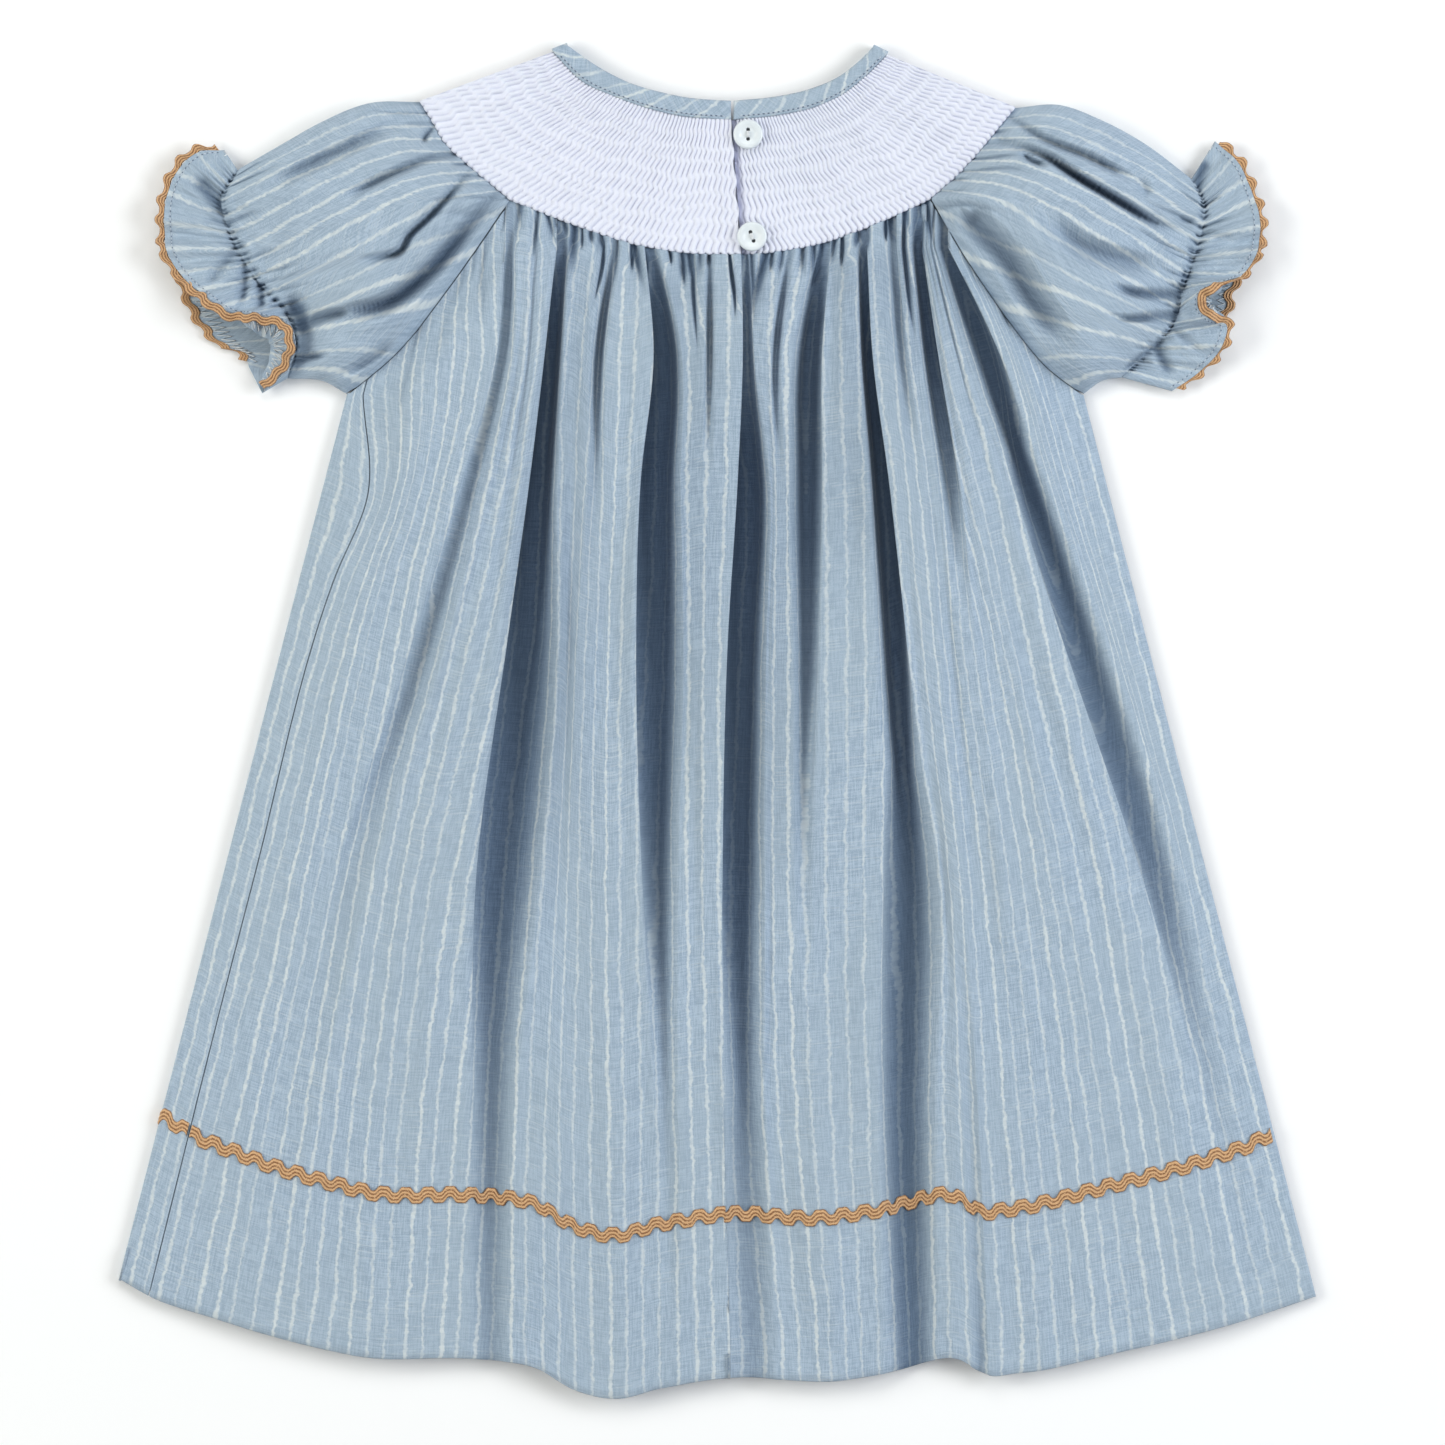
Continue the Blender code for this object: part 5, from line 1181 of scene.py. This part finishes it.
def makeYokeFront():
    # the hidden front half lies flat: pleats on its outer face, which rests on the table
    size = frontYoke
    shares = np.linspace(0, 1, size["pleats"] * size["columnsPerPleat"] + 1)
    rows = np.linspace(0, 1, size["rows"])
    plan, height, valleyShade = smocking(along(neck["frontOut"], shares), yokeFoot(True, True, shares), rows, shares,
                                    size["seed"], size["pleats"])
    plan[:, -1] += (plan[:, -2] - plan[:, -1]) * 0.4
    points = np.concatenate([plan, (size["top"] - size["deep"] * np.clip(height, 0, 1.1))[..., None]], -1)
    lid = points[:, [0, -1]].copy()
    lid[..., 2] = size["lid"]
    points = np.concatenate([lid[:, :1], points, lid[:, 1:], lid[:, :1]], 1)
    shade = np.concatenate([valleyShade[:, :1], valleyShade, valleyShade[:, -1:], valleyShade[:, :1]], 1)
    cloth = np.stack([lengths(points, 0), lengths(points, 1)], -1)
    return addPiece("yokeFront", points[:, ::-1], ["yoke_front"], whiteCotton, cloth[:, ::-1], shade[:, ::-1])


yokeLeft, yokeRight = makeYokeHalf("left"), makeYokeHalf("right")
yokeFront = makeYokeFront()
print("yoke")

binding = dict(low=5.0, high=yoke["under"] + yoke["wall"] + 1.15, frontLow=2.4, frontHigh=0.1, bow=0.35,
               width=7.4, points=12, back=(0, 5, 10))


def makeBinding():
    # one folded strip round the neck: a softly padded loop of 16 points at each place along it
    size = binding
    across = np.linspace(0, 1, size["points"])
    bow = size["bow"] * np.sin(math.pi * across) ** 0.5
    back = list(size["back"])

    def strip(inner, outer, low, high):
        # the seen face bows out by a sine's root, and the hidden one is flat
        top = inner[:, None] + (outer - inner)[:, None] * across[None, :, None]
        face = np.repeat((high + np.sign(high - low) * (bow - size["bow"]))[None], len(inner), 0)
        face[:, 0] = (low + high) / 2
        hidden = top[:, ::-1][:, back]
        level = np.full(hidden.shape[:2] + (1,), low)
        return np.concatenate([np.concatenate([top, face[..., None]], -1),
                               np.concatenate([hidden, level], -1)], 1)

    def turn(inner, outer, way):
        # half a circle over the shoulder, from the back's level down to the front's
        middle, radius = (size["high"] + size["frontHigh"]) / 2, (size["high"] - size["frontHigh"]) / 2
        inside = (size["low"] - size["frontLow"]) / 2
        top = inner + (outer - inner) * across[:, None]
        rings = []
        for angle in np.linspace(0, math.pi, 9)[1:-1]:
            out, up = way * math.sin(angle), math.cos(angle)
            face = np.column_stack([top + out * 1.5, np.full(len(top), middle + radius * up)])
            hidden = np.column_stack([top[::-1][back] + out * 0.3, np.full(len(back), middle + inside * up)])
            rings.append(np.concatenate([face, hidden]))
        return np.stack(rings)

    share, front = np.linspace(0, 1, 90), np.linspace(0, 1, 110)
    leftIn, leftOut = along(neck["leftIn"], share), along(neck["leftOut"], share)
    rightIn, rightOut = along(neck["rightIn"], share)[::-1], along(neck["rightOut"], share)[::-1]
    rings = np.concatenate([
        strip(leftIn, leftOut, size["low"], size["high"]),
        turn(leftIn[-1], leftOut[-1], np.array((-0.37, 0.93))),
        strip(along(neck["frontIn"], front), along(neck["frontOut"], front), size["frontLow"], size["frontHigh"]),
        turn(rightIn[0], rightOut[0], np.array((0.45, 0.89)))[::-1],
        strip(rightIn, rightOut, size["low"], size["high"])])
    ends = rings[[0, -1]].mean(1, keepdims=True) + 0 * rings[[0, -1]]
    rings = np.concatenate([ends[:1], rings, ends[1:]])
    run = lengths(rings.mean(1), 0)[:, None]
    width = size["width"]
    wide = np.concatenate([across * width, np.array([1.0, 0.55, 0.1]) * width + 9, [width + 9]])
    cloth = np.stack(np.broadcast_arrays(run, wide[None]), -1)
    return addPiece("neckBinding", rings.transpose(1, 0, 2), ["neck_binding"], cottonOnTheCross,
                    cloth.transpose(1, 0, 2), wrap=True), rings


neckBinding, bindingRings = makeBinding()
bindingStitches = []
# pale stitches along the binding, with dark spindles between them as painted shade in the needle holes
for name, part in (("bindingStitchesLeft", slice(2, 90)), ("bindingStitchesRight", slice(-90, -2))):
    line = bindingRings[part, 9] * 0.7 + bindingRings[part, 10] * 0.3 + (0, 0, 0.06)
    up = np.zeros_like(line) + (0, 0, 1)
    bindingStitches += [
        makeStitches(name, line, up, 1.9, 1.1, 0.24, blueThread),
        makeStitches(name + "Holes", line, up, 1.9, 0.8, 0.26, holeShade, 0.95)]
print("binding")

button = dict(radius=5.6, thick=2.3, base=6.45, holeRadius=0.66, holeDeep=1.7, holeApart=1.75,
              at=(0, 2.6, 3.4, 4.4, 5.2, 5.6), below=(0.55, 0.5, 0.2, 0, 0.12, 0.6), threadRadius=0.2)


def makeButton(name, label, turnBy):
    # a round button: a raised rim, a dished middle and two holes, one surface over a disc
    x0, y0 = buttonPlaces[name]
    thick, apart = button["thick"], button["holeApart"]
    radii = np.concatenate([np.linspace(0.02, 1, 60), [1.0, 0.96]]) * button["radius"]
    start = math.pi / 2 + turnBy
    r, a = np.meshgrid(radii, np.linspace(0, 2 * math.pi, 121) + start, indexing="ij")
    lengthwise, sideways = r * np.cos(a - start), r * np.sin(a - start)
    hole = np.hypot(np.abs(lengthwise) - apart, sideways)
    inHole = ease((button["holeRadius"] + 0.15 - hole) / 0.3)
    z = through(button["at"], thick - np.array(button["below"]), r) - button["holeDeep"] * inHole
    z[-2:] = [[0.5], [0.0]]
    grid = np.stack([x0 + r * np.cos(a), y0 + r * np.sin(a), button["base"] + z], -1)
    # inHole also sets the painted shade inside the holes
    addPiece(label, grid, [name], pearl, fold=inHole)
    # three strands of thread from hole to hole, which dive at both ends
    way = np.array((math.cos(start), math.sin(start)))
    t = np.linspace(0, 1, 15)
    reach = 2 * t - 1
    level = button["base"] + thick - 0.5 + 0.45 * np.sin(math.pi * t) ** 0.5 - 1.2 * np.abs(reach) ** 8
    for k, off in enumerate((-0.3, 0.0, 0.3)):
        line = np.array((x0, y0)) + way * ((apart - 0.45) * reach)[:, None] + np.array((-way[1], way[0])) * off
        makeTube(f"{label}Thread{k}", np.column_stack([line, level]), button["threadRadius"], whiteThread)


makeButton("button_top", "topButton", 0.0)
makeButton("button_bottom", "bottomButton", 0.35)
print("buttons")


def makeTable():
    # a square of pale, faintly uneven card, four metres each way from the middle
    made, tree = newMaterial("paleTable", 0.9, 0.1)
    paint(tree, mixColour(speckle(tree, 3.0, Detail=1.0), (0.93, 0.93, 0.93), (0.95, 0.95, 0.95)))
    mesh = bpy.data.meshes.new("table")
    corners = [(4.0 * x, 4.0 * y, 0) for x, y in ((-1, -1), (1, -1), (1, 1), (-1, 1))]
    mesh.from_pydata(corners, [], [(0, 1, 2, 3)])
    mesh.materials.append(made)
    top = bpy.data.objects.new("table", mesh)
    bpy.context.scene.collection.objects.link(top)


def softLight(name, azimuth, elevation, distance, size, power, tint):
    # a rectangle of light that looks at the middle from this direction
    data = bpy.data.lights.new(name, "AREA")
    data.shape, data.energy, data.color = "RECTANGLE", power, tint
    data.size, data.size_y = size
    lamp = bpy.data.objects.new(name, data)
    bpy.context.scene.collection.objects.link(lamp)
    a, e = math.radians(azimuth), math.radians(elevation)
    way = Vector((math.cos(a) * math.cos(e), math.sin(a) * math.cos(e), math.sin(e)))
    lamp.location = way * distance
    lamp.rotation_mode = "QUATERNION"
    lamp.rotation_quaternion = (-way).to_track_quat("-Z", "Y")


lights = table("name azimuth elevation distance size power tint", (
    ("softboxLeft", 172, 34, 2.2, (1.6, 1.0), 30.4, (1.0, 1.0, 0.93)),
    ("softboxRight", 8, 34, 2.2, (1.6, 1.0), 35.8, (0.92, 0.96, 1.0)),
    ("softboxHead", 90, 48, 2.4, (1.8, 1.0), 13.5, (1.0, 1.0, 1.0)),
    ("softboxFoot", -90, 50, 2.6, (1.8, 1.0), 7.5, (1.0, 1.0, 1.0)),
))
room = dict(colour=(0.93, 0.96, 1.0, 1), strength=0.2)
# The picture shows a square of the given width in the plane that is this high above the table
camera = dict(distance=2.2, plane=5.0, width=549.1, centre=(0.0, -0.38), sensor=36.0)
makeTable()
for one in lights:
    softLight(**one)
scene = bpy.context.scene
scene.world = bpy.data.worlds.new("room")
scene.world.use_nodes = True
background = scene.world.node_tree.nodes["Background"]
background.inputs["Color"].default_value = room["colour"]
background.inputs["Strength"].default_value = room["strength"]
lens = bpy.data.cameras.new("overhead")
lens.sensor_width = camera["sensor"]
lens.lens = camera["sensor"] * camera["distance"] / (camera["width"] * mm)
overhead = bpy.data.objects.new("overhead", lens)
overhead.location = ((camera["centre"][0] + shift[0]) * mm, (camera["centre"][1] + shift[1]) * mm,
                     camera["distance"] + camera["plane"] * mm)
scene.collection.objects.link(overhead)
scene.camera = overhead
scene.view_settings.view_transform = "Standard"

print("scene ready")
